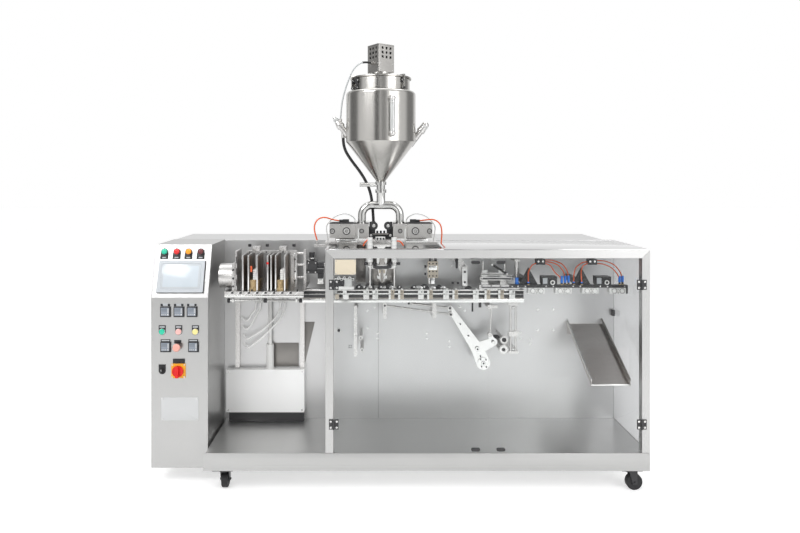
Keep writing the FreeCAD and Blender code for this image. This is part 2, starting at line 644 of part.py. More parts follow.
def fixed_leaf(x, z, side):
    """The leaf on the post; side is -1 where the post is on the left of the pin."""
    half = HINGE_HEIGHT / 2
    barrels = []
    for z0, z1 in ((z - half, z - half + HINGE_KNUCKLE), (z + half - HINGE_KNUCKLE, z + half)):
        barrels.append(rod((x, HINGE_Y, z0), (x, HINGE_Y, z1), HINGE_BARREL))
        barrels.append(leaf_plate(x, side, 0, z0, z1))
    plate = leaf_plate(x, side, HINGE_BARREL + 1, z - half, z + half)
    pin = rod((x, HINGE_Y, z - half), (x, HINGE_Y, z + half), HINGE_PIN)
    return join([plate, pin] + barrels)


def moving_leaf(x, z, side):
    """The leaf on the door, with the middle knuckle around the pin."""
    half = HINGE_HEIGHT / 2
    reach = half - HINGE_KNUCKLE - 0.5
    barrel = rod((x, HINGE_Y, z - reach), (x, HINGE_Y, z + reach), HINGE_BARREL)
    web = leaf_plate(x, side, 0, z - reach, z + reach)
    plate = leaf_plate(x, side, HINGE_BARREL + 1, z - half, z + half)
    bore = rod((x, HINGE_Y, z - half), (x, HINGE_Y, z + half), HINGE_PIN + HINGE_PIN_CLEARANCE)
    return join([barrel, web, plate]).cut(bore)


def leaf_plate(x, side, start, z0, z1):
    near, far = x + side * start, x + side * HINGE_LEAF
    return box(min(near, far), max(near, far), FRONT - HINGE_LEAF_THICK, FRONT, z0, z1)


def make_hinge_leaves():
    leaves = []
    for z in HINGE_LEVELS:
        leaves.append(fixed_leaf(LEFT_HINGE_X, z, -1))
        leaves.append(fixed_leaf(RIGHT_HINGE_X, z, 1))
    return group(leaves)


def make_left_door():
    return box(GUARD_LEFT + TUBE + DOOR_GAP, DOOR_SPLIT - DOOR_GAP / 2, FRONT, FRONT + DOOR_THICK,
               DOOR_BOTTOM, DOOR_TOP)


def make_right_door():
    sheet = box(DOOR_SPLIT + DOOR_GAP / 2, RIGHT - TUBE - DOOR_GAP, FRONT, FRONT + DOOR_THICK,
                DOOR_BOTTOM, DOOR_TOP)
    window = rounded_plate(WINDOW_LEFT, WINDOW_LEFT + WINDOW_WIDTH, WINDOW_BOTTOM,
                           WINDOW_BOTTOM + WINDOW_HEIGHT, WINDOW_CORNER, FRONT, FRONT + DOOR_THICK)
    return sheet.cut(window)


def make_door_fittings(hinge_x, side):
    """Two hinge leaves and the two catches beside the split."""
    catch_x = DOOR_SPLIT - side * CATCH_FROM_SPLIT
    pieces = [moving_leaf(hinge_x, z, side) for z in HINGE_LEVELS]
    for z in (DOOR_BOTTOM + CATCH_FROM_END, DOOR_TOP - CATCH_FROM_END):
        pieces.append(rounded_plate(catch_x - CATCH_LENGTH / 2, catch_x + CATCH_LENGTH / 2,
                                    z - CATCH_HEIGHT / 2, z + CATCH_HEIGHT / 2, CATCH_HEIGHT / 2 - 0.5,
                                    FRONT - CATCH_PROUD, FRONT))
    return group(pieces)


def make_magazine_table():
    lip_back = MAGAZINE_FRONT + TABLE_THICK
    top = box(TABLE_LEFT, TABLE_RIGHT, MAGAZINE_FRONT, WALL, TABLE_TOP - TABLE_THICK, TABLE_TOP)
    lip = box(TABLE_LEFT, TABLE_RIGHT, MAGAZINE_FRONT, lip_back, TABLE_TOP - TABLE_LIP, TABLE_TOP)
    legs = [box(x, x + TABLE_LEG, WALL - TABLE_LEG - 1, WALL - 1, BOX_TOP, TABLE_TOP - TABLE_THICK)
            for x in (TABLE_LEFT, BOX_RIGHT - TABLE_LEG)]
    return join([top, lip] + legs)


def make_bag_magazine():
    front = MAGAZINE_FRONT + 12
    rear = MAGAZINE_FRONT + MAGAZINE_DEPTH
    plates = [box(x, x + PLATE_THICK, front, rear, TABLE_TOP, MAGAZINE_TOP) for x in MAGAZINE_PLATES]
    bridge = box(MAGAZINE_PLATES[0], SUPPORT_LEFT + SUPPORT_WIDTH, rear - 60, rear - 20,
                 MAGAZINE_TOP, MAGAZINE_TOP + 10)
    blocks = [box(x - 20, x + 20, rear - 65, rear - 15, MAGAZINE_TOP + 10, MAGAZINE_TOP + 33)
              for x in BRASS_STACKS]
    support = box(SUPPORT_LEFT, SUPPORT_LEFT + SUPPORT_WIDTH, rear - 60, rear - 20,
                  TABLE_TOP, MAGAZINE_TOP)
    start = SUPPORT_LEFT + SUPPORT_WIDTH
    rods = [rod((start, rear - 40, z), (TABLE_RIGHT - WHITE_POST, rear - 40, z), ROD_RADIUS)
            for z in MAGAZINE_RODS]
    post = box(TABLE_RIGHT - WHITE_POST, TABLE_RIGHT, rear - 60, rear - 20, TABLE_TOP, MAGAZINE_TOP + 15)
    return join(plates + [bridge, support, post] + blocks + rods)


def make_brass_stacks():
    rear = MAGAZINE_FRONT + MAGAZINE_DEPTH
    stacks = []
    for x in BRASS_STACKS:
        foot = box(x - BRASS_WIDTH / 2, x + BRASS_WIDTH / 2, MAGAZINE_FRONT + 20, rear - 70,
                   TABLE_TOP, TABLE_TOP + 16)
        stack = box(x - BRASS_WIDTH / 2 + 2, x + BRASS_WIDTH / 2 - 2, MAGAZINE_FRONT + 24, rear - 76,
                    TABLE_TOP + 16, TABLE_TOP + 58)
        stacks.append(join([foot, stack]))
    return group(stacks)


def make_magazine_drive():
    y = MAGAZINE_FRONT + 90
    z = TABLE_TOP + DRUM_RADIUS + 6
    end = DRUM_LEFT + DRUM_LENGTH
    drum = rod((DRUM_LEFT, y, z), (end, y, z), DRUM_RADIUS)
    flange = box(end, end + DRUM_FLANGE, y - 75, y + 75, TABLE_TOP, z + DRUM_RADIUS + 8)
    end_plate = box(end + DRUM_FLANGE, end + DRUM_FLANGE + 10, y - 60, y + 60, TABLE_TOP, MAGAZINE_TOP + 20)
    return join([drum, flange, end_plate])


def make_pickup_head():
    y = MAGAZINE_FRONT + MAGAZINE_DEPTH - 40
    x = TABLE_RIGHT
    base = PICKUP_BASE + 22
    top = base + PICKUP_BODY_HEIGHT
    arm = box(x, x + PICKUP_ARM, y - 14, y + 14, PICKUP_BASE, base)
    body = box(x + 6, x + 6 + PICKUP_BODY, y - 24, y + 24, base, top)
    middle = (base + top) / 2
    barrel = rod((x + 6 + PICKUP_BODY, y, middle), (x + PICKUP_ARM + 2, y, middle), PICKUP_BARREL)
    upper = rod((x + 30, y, top), (x + 30, y, top + 46), PICKUP_UPPER)
    jaw = box(x + PICKUP_ARM - 32, x + PICKUP_ARM - 4, y - 30, y + 30, PICKUP_BASE - PICKUP_JAW, PICKUP_BASE)
    return join([arm, body, barrel, upper, jaw])


def make_cover_box():
    front = WALL - BOX_DEPTH
    shell = box(BOX_LEFT, BOX_RIGHT, front, WALL, BOX_BOTTOM, BOX_TOP)
    plinth = box(BOX_LEFT + PLINTH_INSET, BOX_RIGHT, front + 4, WALL, PAN_TOP, BOX_BOTTOM)
    return join([shell, plinth])


def make_vacuum_manifold():
    """The suction pole on the cover box, with its manifold bar under the table."""
    y = WALL - BOX_DEPTH / 2
    sleeve = rod((POLE_X, y, BOX_TOP), (POLE_X, y, POLE_SLEEVE_TOP), POLE_SLEEVE)
    pole = rod((POLE_X, y, BOX_TOP), (POLE_X, y, MANIFOLD_Z), POLE_RADIUS)
    foot = rod((POLE_X, y, BOX_TOP), (POLE_X, y, BOX_TOP + 8), POLE_SLEEVE + 3)
    bar = box(SUCTION_PORTS[0] - 60, SUCTION_PORTS[-1] + 60, y - 16, y + 16,
              MANIFOLD_Z, MANIFOLD_Z + MANIFOLD_THICK)
    hangers = [rod((x, y, MANIFOLD_Z), (x, y, TABLE_TOP - TABLE_THICK), 6)
               for x in (SUCTION_PORTS[0] - 40, SUCTION_PORTS[-1] + 40)]
    ports = [rod((x, y, MANIFOLD_Z - 30), (x, y, MANIFOLD_Z), SUCTION_RADIUS) for x in SUCTION_PORTS]
    return join([bar, sleeve, pole, foot] + hangers + ports)


def make_gripper_track():
    rear = TRACK_Y + TRACK_FLANGE / 2
    front = rear - TRACK_FLANGE
    web = box(TRACK_LEFT, TRACK_RIGHT, rear - TRACK_BACK, rear, TRACK_BOTTOM, TRACK_TOP)
    flanges = [box(TRACK_LEFT, TRACK_RIGHT, front, rear, z, z + TRACK_BAR)
               for z in (TRACK_BOTTOM, TRACK_BOTTOM + 18, TRACK_TOP - TRACK_BAR)]
    arms = [box(x - 15, x + 15, rear, WALL, TRACK_BOTTOM, TRACK_BOTTOM + 30) for x in TRACK_ARMS]
    return join([web] + flanges + arms)


def make_gripper_pads():
    rear = TRACK_Y - TRACK_FLANGE / 2
    front = rear - PAD_DEEP
    middle = (TRACK_BOTTOM + 26 + TRACK_TOP) / 2
    bar = box(PAD_CENTRES[0] - PAD_WIDTH, PAD_CENTRES[-1] + PAD_WIDTH, rear - 5, rear, middle - 4, middle + 4)
    pads = []
    for x in PAD_CENTRES:
        upper = box(x - PAD_WIDTH / 2, x + PAD_WIDTH / 2, front, rear, middle + 2, TRACK_TOP)
        lower = box(x - PAD_WIDTH / 2, x + PAD_WIDTH / 2, front, rear, TRACK_BOTTOM + 20, middle - 2)
        pads += [upper, lower]
    return join([bar] + pads)


def make_deck():
    plate = box(DECK_LEFT, DECK_RIGHT, DECK_FRONT, WALL + 120, DECK_BOTTOM, DECK_TOP)
    middle = PIPE_X + NOZZLE_SHIFT
    slot = box(middle - NOZZLE_HALF - 20, middle + NOZZLE_HALF + 20, TRACK_Y - 20, TRACK_Y + 20,
               DECK_BOTTOM, DECK_TOP)
    return plate.cut(slot)


def pump_port(x, y, z, radius):
    """A round port with its collar and bore, on a block's front."""
    collar = ring((x, y - 5, z), (x, y, z), radius, radius - 5)
    seat = ring((x, y - 3, z), (x, y, z), radius - 5, radius / 3)
    return [collar, seat]


def soft_block(x0, x1, y0, y1, z0, z1):
    """A machined block with rounded upright edges."""
    block = box(min(x0, x1), max(x0, x1), y0, y1, z0, z1)
    return block.makeFillet(PUMP_ROUND, [e for e in block.Edges if abs(e.tangentAt(e.FirstParameter).z) > 0.99])


def make_dosing_pumps():
    """A pump and a valve block on each side of the pipe, with a second block under the deck."""
    y0, y1 = TRACK_Y - PUMP_DEEP / 2, TRACK_Y + PUMP_DEEP / 2
    groups = []
    for side in (-1, 1):
        branch = PIPE_X + side * BRANCH_HALF
        valve_in = branch - side * VALVE_WIDTH / 2
        valve_out = branch + side * VALVE_WIDTH / 2
        pump_out = valve_out + side * PUMP_WIDTH
        valve = soft_block(valve_in, valve_out, y0 + 3, y1, DECK_TOP + VALVE_RAISED, PUMP_TOP - 3)
        pump = soft_block(valve_out, pump_out, y0, y1, DECK_TOP + PUMP_RAISED, PUMP_TOP)
        xs = sorted((valve_out, valve_out + side * PUMP_FOOT))
        foot = box(xs[0], xs[1], y0 + 20, y1 - 20, DECK_TOP, DECK_TOP + PUMP_RAISED)
        ports = []
        for reach, radius in PUMP_PORTS:
            face = y0 if reach > 0 else y0 + 3
            ports += pump_port(valve_out + side * reach, face, PUMP_TOP - PORT_DROP, radius)
        groups.append(join([valve, pump, foot] + ports))
        lower = soft_block(valve_out - side * LOWER_LAP, valve_out + side * LOWER_REACH, y0, y1,
                           DECK_BOTTOM - LOWER_BLOCK, DECK_BOTTOM)
        reach, radius = PUMP_PORTS[0]
        port = pump_port(valve_out + side * reach, y0, DECK_BOTTOM - LOWER_BLOCK / 2, radius)
        groups.append(join([lower] + port))
    return group(groups)


def make_air_valves():
    """Black valves between the pumps, with a round union each, and the hose fittings on the pumps."""
    y = TRACK_Y
    pieces = []
    for side in (-1, 1):
        inner = PIPE_X + side * (BRANCH_HALF - VALVE_WIDTH / 2)
        xs = sorted((inner, inner - side * VALVE_BODY))
        body = box(xs[0], xs[1], y - 22, y + 22, DECK_TOP + NOZZLE_RISE, PUMP_TOP - 22)
        x, z = inner - side * (VALVE_BODY - UNION_LAP), PUMP_TOP - 15
        union = ring((x, y - 42, z), (x, y - 22, z), UNION_RADIUS, UNION_BORE)
        back = rod((x, y - 24, z), (x, y + 16, z), UNION_RADIUS - 4)
        pieces += [body, union, back]
    reach = BRANCH_HALF - VALVE_WIDTH / 2
    bridge = box(PIPE_X - reach, PIPE_X + reach, y + 22, y + 62, DECK_TOP, DECK_TOP + 34)
    crossbar = box(PIPE_X - reach, PIPE_X + reach, y - 20, y - 8, DECK_TOP + 34, DECK_TOP + 43)
    socket = rod(CONDUIT_END - V(0, 0, 72), CONDUIT_END, CONDUIT / 2 + 3)
    fittings = []
    for tip, side in ((LEFT_HOSE[0], -1), (RIGHT_HOSE[0], 1)):
        valve_out = PIPE_X + side * (BRANCH_HALF + VALVE_WIDTH / 2)
        xs = sorted((valve_out + side * 8, valve_out + side * (PUMP_WIDTH - 10)))
        strip = box(xs[0], xs[1], y - 34, y + 12, PUMP_TOP, PUMP_TOP + 4)
        near, far = sorted((tip[0] - side * 20, tip[0] - side * 54))
        saddle = box(near, far, y - 12, y + 12, PUMP_TOP, PUMP_TOP + 18)
        barb = rod((tip[0] - side * 20, y, tip[2]), tip, TUBE_SIZE / 2 + 2.5)
        fittings.append(join([strip, saddle, barb]))
    return group([join([bridge, crossbar, socket] + pieces)] + fittings)


def make_hose_bracket():
    """The bracket beside the guard that takes the left hose, and the sockets of the wall tubes."""
    x, y, z = LEFT_HOSE[-1]
    shelf = box(x - 16, GUARD_LEFT, y - 14, y + 14, GUARD_TOP - 14, GUARD_TOP - 2)
    socket = rod((x, y, GUARD_TOP - 2), (x, y, z), TUBE_SIZE / 2 + 3)
    return join([shelf, socket])


def make_pump_tubes():
    """Small air tubes that arch from the valves to the ends of the deck."""
    tubes = []
    for side, end in ((-1, DECK_LEFT + 12), (1, DECK_RIGHT - 12)):
        top = PIPE_X + side * (BRANCH_HALF + 36)
        points = [(top, PUMP_TOP - 3), (top + side * 6, PUMP_TOP + 24), (top + side * 50, PUMP_TOP + 50),
                  (top + side * 110, PUMP_TOP + 36), (end + side * 12, PUMP_TOP - 18),
                  (end + side * 6, PUMP_TOP - 68), (end, DECK_TOP)]
        tubes.append(hose(in_plane(TRACK_Y + 34, points), SMALL_TUBE))
    return group(tubes)


def make_cooling_tubes():
    """Air and water tubes from the two blocks down to the fittings on the cooling bar."""
    bends = [(0, -1, [(-44, -15), (-66, -53), (-65, -85)], -8), (0, 1, [(52, -17), (78, -59), (106, -81)], -8),
             (0, 1, [(60, -3), (100, -19), (130, -59)], 0), (0, 1, [(70, 7), (124, -13), (152, -57)], 8),
             (1, -1, [(-54, -5), (-86, -31), (-96, -69)], 0), (1, -1, [(-50, -19), (-60, -51), (-58, -81)], -8),
             (1, 1, [(60, -11), (106, -31), (140, -73)], -8), (1, 1, [(66, 5), (120, -13), (158, -59)], 6)]
    tubes = []
    middle = BLOCK_BOTTOM + BLOCK_HEIGHT / 2
    for (block, side, steps, rise), (fitting, offset) in zip(bends, FITTINGS):
        x = AIR_BLOCKS[block]
        points = [(x + side * BLOCK_REACH, middle + rise)]
        points += [(x + dx, middle + dz) for dx, dz in steps]
        points.append((fitting, COOL_TOP + FITTING_HEIGHT))
        tubes.append(hose(in_plane(COOL_Y + offset, points), SMALL_TUBE))
    return group(tubes)


def make_vacuum_tubes():
    """Four tubes that swing from the suction ports over to the back wall."""
    y = WALL - BOX_DEPTH / 2
    tubes = []
    drop = MANIFOLD_Z - 30
    for index, x in enumerate(SUCTION_PORTS):
        level = MANIFOLD_Z - 115.0 - 50.0 * index
        end = CONSOLE_RIGHT + 105.0 + 4.0 * index
        swing = y - 6 if x < POLE_X else y - 36
        points = [(x, y, drop), (x - 4, y, drop - 40), (x - 28, (y + swing) / 2, drop - 70 - 8 * index),
                  ((x + end) / 2, swing, (drop + level) / 2 - 52 - 6 * index),
                  (end + 22, (y + swing) / 2, level - 22), (end, WALL - 14, level - 6), (end - 1, WALL, level)]
        tubes.append(hose(points, TUBE_SIZE))
    return group(tubes)


def bent_path(points, bends):
    """Straight runs through the points, joined by tangent arcs of the given radii."""
    corners = [V(*p) for p in points]
    edges = []
    start = corners[0]
    for before, corner, after, bend in zip(corners, corners[1:], corners[2:], bends):
        into, out = (corner - before).normalize(), (after - corner).normalize()
        half_turn = into.getAngle(out) / 2
        trim = bend * math.tan(half_turn)
        first, last = corner - into * trim, corner + out * trim
        inward = (out - into).normalize()
        middle = corner + inward * (bend / math.cos(half_turn) - bend)
        edges.append(Part.LineSegment(start, first).toShape())
        edges.append(Part.Arc(first, middle, last).toShape())
        start = last
    edges.append(Part.LineSegment(start, corners[-1]).toShape())
    return Part.Wire(edges)


def swept(points, bends, radius):
    """A round bar or hose that follows the bent path."""
    path = bent_path(points, bends)
    circle = Part.Wire(Part.makeCircle(radius, V(*points[0]), V(*points[1]) - V(*points[0])))
    return path.makePipeShell([circle], True, False)


def hose(points, diameter, name=""):
    """A hose whose arcs are as large as its runs allow."""
    corners = [V(*p) for p in points]
    bends = []
    for before, corner, after in zip(corners, corners[1:], corners[2:]):
        turn = (corner - before).getAngle(after - corner)
        shorter = min((corner - before).Length, (after - corner).Length)
        bends.append(0.45 * shorter / math.tan(turn / 2))
    shape = swept(points, bends, diameter / 2)
    if name:
        length = bent_path(points, bends).Length
        section = math.pi * diameter ** 2 / 4
        print(name, "length", round(length), "smallest radius", round(min(bends), 1),
              "volume share", round(shape.Volume / (section * length), 4))
    return shape


def in_plane(y, points):
    """Points given by x and z on one upright plane."""
    return [(x, y, z) for x, z in points]


def make_product_pipe():
    left, right = PIPE_X - BRANCH_HALF, PIPE_X + BRANCH_HALF
    foot = PUMP_TOP - 3
    arch = swept(in_plane(TRACK_Y, [(left, foot), (left, BRANCH_Z), (right, BRANCH_Z), (right, foot)]),
                 [BEND_RADIUS, BEND_RADIUS], BRANCH_RADIUS)
    down = rod((PIPE_X, TRACK_Y, BRANCH_Z), (PIPE_X, TRACK_Y, OUTLET_TOP), PIPE_RADIUS)
    clamps = [rod((PIPE_X, TRACK_Y, z - 9), (PIPE_X, TRACK_Y, z + 9), CLAMP_RADIUS) for z in PIPE_CLAMPS]
    collars = [rod((x, TRACK_Y, foot), (x, TRACK_Y, foot + 8), 32) for x in (left, right)]
    handle = rod((PIPE_X, TRACK_Y, HANDLE_Z), (PIPE_X - HANDLE_LENGTH, TRACK_Y, HANDLE_Z), HANDLE_RADIUS)
    return join([arch, down, handle] + clamps + collars)


def hopper_form(inset):
    """The solid form inside the hopper's skin, or its hollow where inset by the wall."""
    radius, neck, top = HOPPER_RADIUS - inset, HOPPER_NECK - inset, HOPPER_SHOULDER - inset
    form = spun([(0, OUTLET_TOP), (PIPE_RADIUS - inset, OUTLET_TOP), (radius, HOPPER_BOTTOM), (radius, top),
                 (neck, top), (neck, HOPPER_RIM), (0, HOPPER_RIM)], PIPE_X, TRACK_Y)
    shoulder = [e for e in form.Edges if isinstance(e.Curve, Part.Circle)
                and abs(e.Curve.Radius - radius) < 0.01 and abs(e.Curve.Center.z - top) < 0.01]
    return form.makeFillet(SHOULDER_ROUND - inset, shoulder)


def make_hopper_shell():
    return hopper_form(0).cut(hopper_form(HOPPER_WALL))


def sight_tube(hopper):
    """The upright sight tube between two round bosses on the hopper's front."""
    x = PIPE_X + SIGHT_OFFSET
    skin = TRACK_Y - math.sqrt(HOPPER_RADIUS ** 2 - SIGHT_OFFSET ** 2)
    y = skin - SIGHT_STANDOFF
    low, high = HOPPER_BOTTOM + 36, HOPPER_SHOULDER - 56
    pieces = [rod((x, y, low), (x, y, high), SIGHT_RADIUS)]
    for z in (low, high):
        pieces.append(rod((x, skin + 30, z), (x, y, z), SIGHT_BOSS))
        pieces.append(Part.makeSphere(SIGHT_BOSS, V(x, y, z)))
    return join(pieces).cut(hopper)


def make_hopper_fittings():
    """The sight tube, and a stub on each side with its collar and its spout or round cap."""
    hopper = hopper_form(0)
    pieces = [sight_tube(hopper)]
    for side in (-1, 1):
        tube = rod(stub_point(side, 0), stub_point(side, STUB_COLLAR + 8), STUB_RADIUS)
        collar = rod(stub_point(side, STUB_COLLAR - 10), stub_point(side, STUB_COLLAR + 10), STUB_RADIUS + 5)
        start, end = stub_point(side, STUB_COLLAR + 8), stub_point(side, STUB_ENDS[side])
        cap = Part.makeCone(STUB_RADIUS + 4, STUB_TIPS[side], (end - start).Length, start, end - start)
        parts = [tube, collar, cap, Part.makeSphere(STUB_TIPS[side], end)]
        if side < 0:
            parts.append(rod(LEAD_END - V(0, 0, 40), LEAD_END, LEAD))
            parts.append(rod(CONDUIT_START, CONDUIT_START + V(0, 0, 46), CONDUIT / 2 + 2))
        pieces.append(join(parts).cut(hopper))
    return group(pieces)


def make_hopper_lid():
    plate = rod((PIPE_X, TRACK_Y, HOPPER_RIM), (PIPE_X, TRACK_Y, HOPPER_RIM + LID_THICK),
                HOPPER_NECK + LID_OVERHANG)
    neck = rod((PIPE_X, TRACK_Y, HOPPER_RIM), (PIPE_X, TRACK_Y, MOTOR_BOTTOM), 38)
    flange = rod((PIPE_X, TRACK_Y, MOTOR_BOTTOM - 8), (PIPE_X, TRACK_Y, MOTOR_BOTTOM), 56)
    return join([plate, neck, flange] + lid_clamps())


def lid_clamps():
    """Toggle clamps that hold the lid down, spaced round the neck."""
    clamps = []
    top = HOPPER_RIM + LID_THICK
    for angle in LID_CLAMPS:
        base = box(HOPPER_NECK, HOPPER_NECK + 7, -8, 8, HOPPER_RIM - 62, HOPPER_RIM - 34)
        post = box(HOPPER_NECK + LID_OVERHANG + 1, HOPPER_NECK + LID_OVERHANG + 7, -5, 5,
                   HOPPER_RIM - 50, top + 7)
        lever = box(HOPPER_NECK + 6, HOPPER_NECK + LID_OVERHANG + 7, -5, 5, HOPPER_RIM - 56, HOPPER_RIM - 44)
        hook = box(HOPPER_NECK - 14, HOPPER_NECK + LID_OVERHANG + 7, -5, 5, top, top + 7)
        clamp = join([base, lever, post, hook])
        clamp.rotate(V(0, 0, 0), V(0, 0, 1), angle)
        clamp.translate(V(PIPE_X, TRACK_Y, 0))
        clamps.append(clamp)
    return clamps


def make_stirrer_drive():
    half = MOTOR_SIDE / 2
    body = box(-half, half, -half, half, MOTOR_BOTTOM, MOTOR_TOP)
    body = body.makeFillet(2, [e for e in body.Edges if abs(e.tangentAt(e.FirstParameter).z) > 0.99])
    holes = []
    pitch = 24.0
    for column in (-pitch, 0, pitch):
        for row in range(3):
            z = MOTOR_TOP - 26 - row * pitch
            holes.append(box(column - 4, column + 4, -half - 1, -half + 4, z - 4, z + 4))
            holes.append(box(-half - 1, -half + 4, column - 4, column + 4, z - 4, z + 4))
    body = body.cut(group(holes))
    gland = rod((-GLAND_REACH, 0, MOTOR_BOTTOM + GLAND_UP), (-half, 0, MOTOR_BOTTOM + GLAND_UP), 9)
    drive = join([body, gland])
    drive.rotate(V(0, 0, 0), V(0, 0, 1), MOTOR_TURN)
    drive.translate(V(PIPE_X, TRACK_Y, 0))
    return drive


def make_fill_nozzles():
    """Two nozzles with wing screws, joined by a manifold block and a yoke with its funnel plate."""
    middle = PIPE_X + NOZZLE_SHIFT
    y, low = TRACK_Y, NOZZLE_SHOULDER
    profile = [(0, NOZZLE_TIP), (NOZZLE_TUBE, NOZZLE_TIP), (NOZZLE_TUBE, low), (NOZZLE_RADIUS - 4, low + 18),
               (NOZZLE_RADIUS, low + 24), (NOZZLE_RADIUS, DECK_TOP + NOZZLE_RISE), (0, DECK_TOP + NOZZLE_RISE)]
    pieces = []
    for x in (middle - NOZZLE_HALF, middle + NOZZLE_HALF):
        pieces.append(spun(profile, x, y))
        pieces.append(box(x - NOZZLE_WING, x + NOZZLE_WING, y - 3, y + 3, low + 26, low + 38))
    inner = NOZZLE_HALF - NOZZLE_RADIUS + 2
    pieces.append(box(middle - inner, middle + inner, y - 18, y + 18, DECK_BOTTOM - 15, DECK_TOP + 11))
    pieces.append(box(middle - NOZZLE_HALF, middle + NOZZLE_HALF, y - 6, y + 6, low + 4, low + 26))
    tip = NOZZLE_TIP + 33
    corners = [(middle - 26, low + 6), (middle + 26, low + 6), (middle + 10, tip), (middle - 10, tip)]
    pieces.append(prism([(x, y - 5, z) for x, z in corners], (0, 10, 0)))
    return join(pieces)


def station_arm(x, width):
    """A flat arm high on the back wall that a station hangs from."""
    return box(x - width / 2, x + width / 2, TRACK_Y - 15, WALL, ARM_TOP - ARM_THICK, ARM_TOP)


def make_bag_opener():
    x, y = OPENER_X, TRACK_Y
    arm = station_arm(x + 17, OPENER_ARM)
    hose_end = RIGHT_HOSE[-1]
    socket = rod((hose_end[0], hose_end[1], ARM_TOP - 6), hose_end, TUBE_SIZE / 2 + 3)
    rods = [rod((x + offset, y, OPENER_ROD_END), (x + offset, y, ARM_TOP - 6), OPENER_ROD_RADIUS)
            for offset in OPENER_RODS]
    low, high = OPENER_CLAMP_BOTTOM, OPENER_CLAMP_BOTTOM + OPENER_CLAMP_HEIGHT
    clamp = prism([(x - 32, y - 20, high), (x + 36, y - 20, high),
                   (x + 26, y - 20, low), (x - 22, y - 20, low)], (0, 34, 0))
    second = station_arm(BRACKET_X, BRACKET_ARM)
    top = ARM_TOP - ARM_THICK
    heel = BRACKET_X + 40 - BRACKET_WIDTH
    bracket = prism([(BRACKET_X - 52, y - 3, top), (BRACKET_X - 7, y - 3, top),
                     (BRACKET_X + 40, y - 3, top - 64), (BRACKET_X + 40, y - 3, top - BRACKET_DROP),
                     (heel, y - 3, top - BRACKET_DROP)], (0, 6, 0))
    block = box(heel, BRACKET_X + 40, y - 24, y + 24, BRACKET_FOOT, top - 66)
    return group([join([arm, clamp, socket] + rods), join([second, bracket, block])])


def make_seal_station():
    """Three bars one above the other on two clamp posts, with the cylinder that closes them."""
    y = TRACK_Y - 10
    bars = [rounded_plate(left, right, bottom, bottom + height, SEAL_ROUND, y - half, y + half)
            for (left, right, bottom, height), half in zip((SEAL_UPPER, SEAL_MIDDLE, SEAL_LOWER), (14, 18, 22))]
    half = SEAL_TIE_WIDTH / 2
    ties = [box(x - half, x + half, y - 12, y + 12, SEAL_LOWER[2] + 19, SEAL_UPPER[2] + 6) for x in SEAL_TIES]
    ties += [box(x - half - 4, x + half + 4, y - 20, y + 20, SEAL_LOWER[2] + SEAL_LOWER[3] + 2,
                 SEAL_LOWER[2] + SEAL_LOWER[3] + 14) for x in SEAL_TIES]
    arm = box(SEAL_ARM[0], SEAL_ARM[1], y + 12, WALL, SEAL_MIDDLE[2] + 2, SEAL_MIDDLE[2] + 16)
    return join(bars + [arm] + ties + seal_cylinder())


def seal_cylinder():
    x, y = SEAL_CYLINDER_X, TRACK_Y
    foot = SEAL_LOWER[2] + SEAL_LOWER[3]
    barrel = rod((x, y, foot + 36), (x, y, SEAL_CYLINDER_TOP), SEAL_CYLINDER_RADIUS)
    stem = rod((x, y, foot), (x, y, foot + 36), 5)
    arm = box(x - 14, x + 14, y - 12, WALL, SEAL_CYLINDER_TOP, SEAL_CYLINDER_TOP + 12)
    return [barrel, stem, arm]


def make_cooling_bar():
    bar = box(COOL_LEFT, COOL_RIGHT, COOL_Y - 12, COOL_Y + 12, COOL_BAR_BOTTOM, COOL_TOP)
    hook = box(COOL_RIGHT - 10, COOL_RIGHT, COOL_Y - 20, COOL_Y + 12, COOL_BAR_BOTTOM - 30, COOL_TOP)
    pieces = [bar, hook]
    for x in GUSSETS:
        left, right, y = x - GUSSET_WIDTH / 2, x + GUSSET_WIDTH / 2, COOL_Y + 6
        pieces.append(prism([(left, y, COOL_TOP), (right, y, COOL_TOP), (x, y, COOL_TOP + GUSSET_HEIGHT)], (0, 6, 0)))
        pieces.append(box(x - 15, x + 15, COOL_Y + 12, WALL, COOL_TOP - 10, COOL_TOP + 20))
    return join(pieces + lever_boxes())


def lever_boxes():
    boxes = []
    for x in LEVER_BOXES:
        case = box(x - LEVER_BOX_WIDTH / 2, x + LEVER_BOX_WIDTH / 2, COOL_Y - 12, COOL_Y + 40,
                   COOL_TOP, COOL_TOP + LEVER_BOX_HEIGHT)
        knob = rod((x + 12, COOL_Y - 26, COOL_TOP + 15), (x + 12, COOL_Y - 12, COOL_TOP + 15), 12)
        boxes += [case, knob]
    return boxes


def make_cooling_heads():
    heads = []
    for x in HEAD_CENTRES:
        body = box(x - HEAD_WIDTH / 2, x + HEAD_WIDTH / 2, COOL_Y - HEAD_DEEP / 2, COOL_Y + HEAD_DEEP / 2,
                   COOL_BAR_BOTTOM - HEAD_HEIGHT, COOL_BAR_BOTTOM)
        discs = [rod((x + offset, COOL_Y - HEAD_DEEP / 2 - 6, COOL_BAR_BOTTOM - HEAD_HEIGHT / 2),
                     (x + offset, COOL_Y - HEAD_DEEP / 2, COOL_BAR_BOTTOM - HEAD_HEIGHT / 2),
                     HEAD_HEIGHT / 2 - 2) for offset in (-HEAD_WIDTH / 4, HEAD_WIDTH / 4)]
        heads.append(join([body] + discs))
    return group(heads)


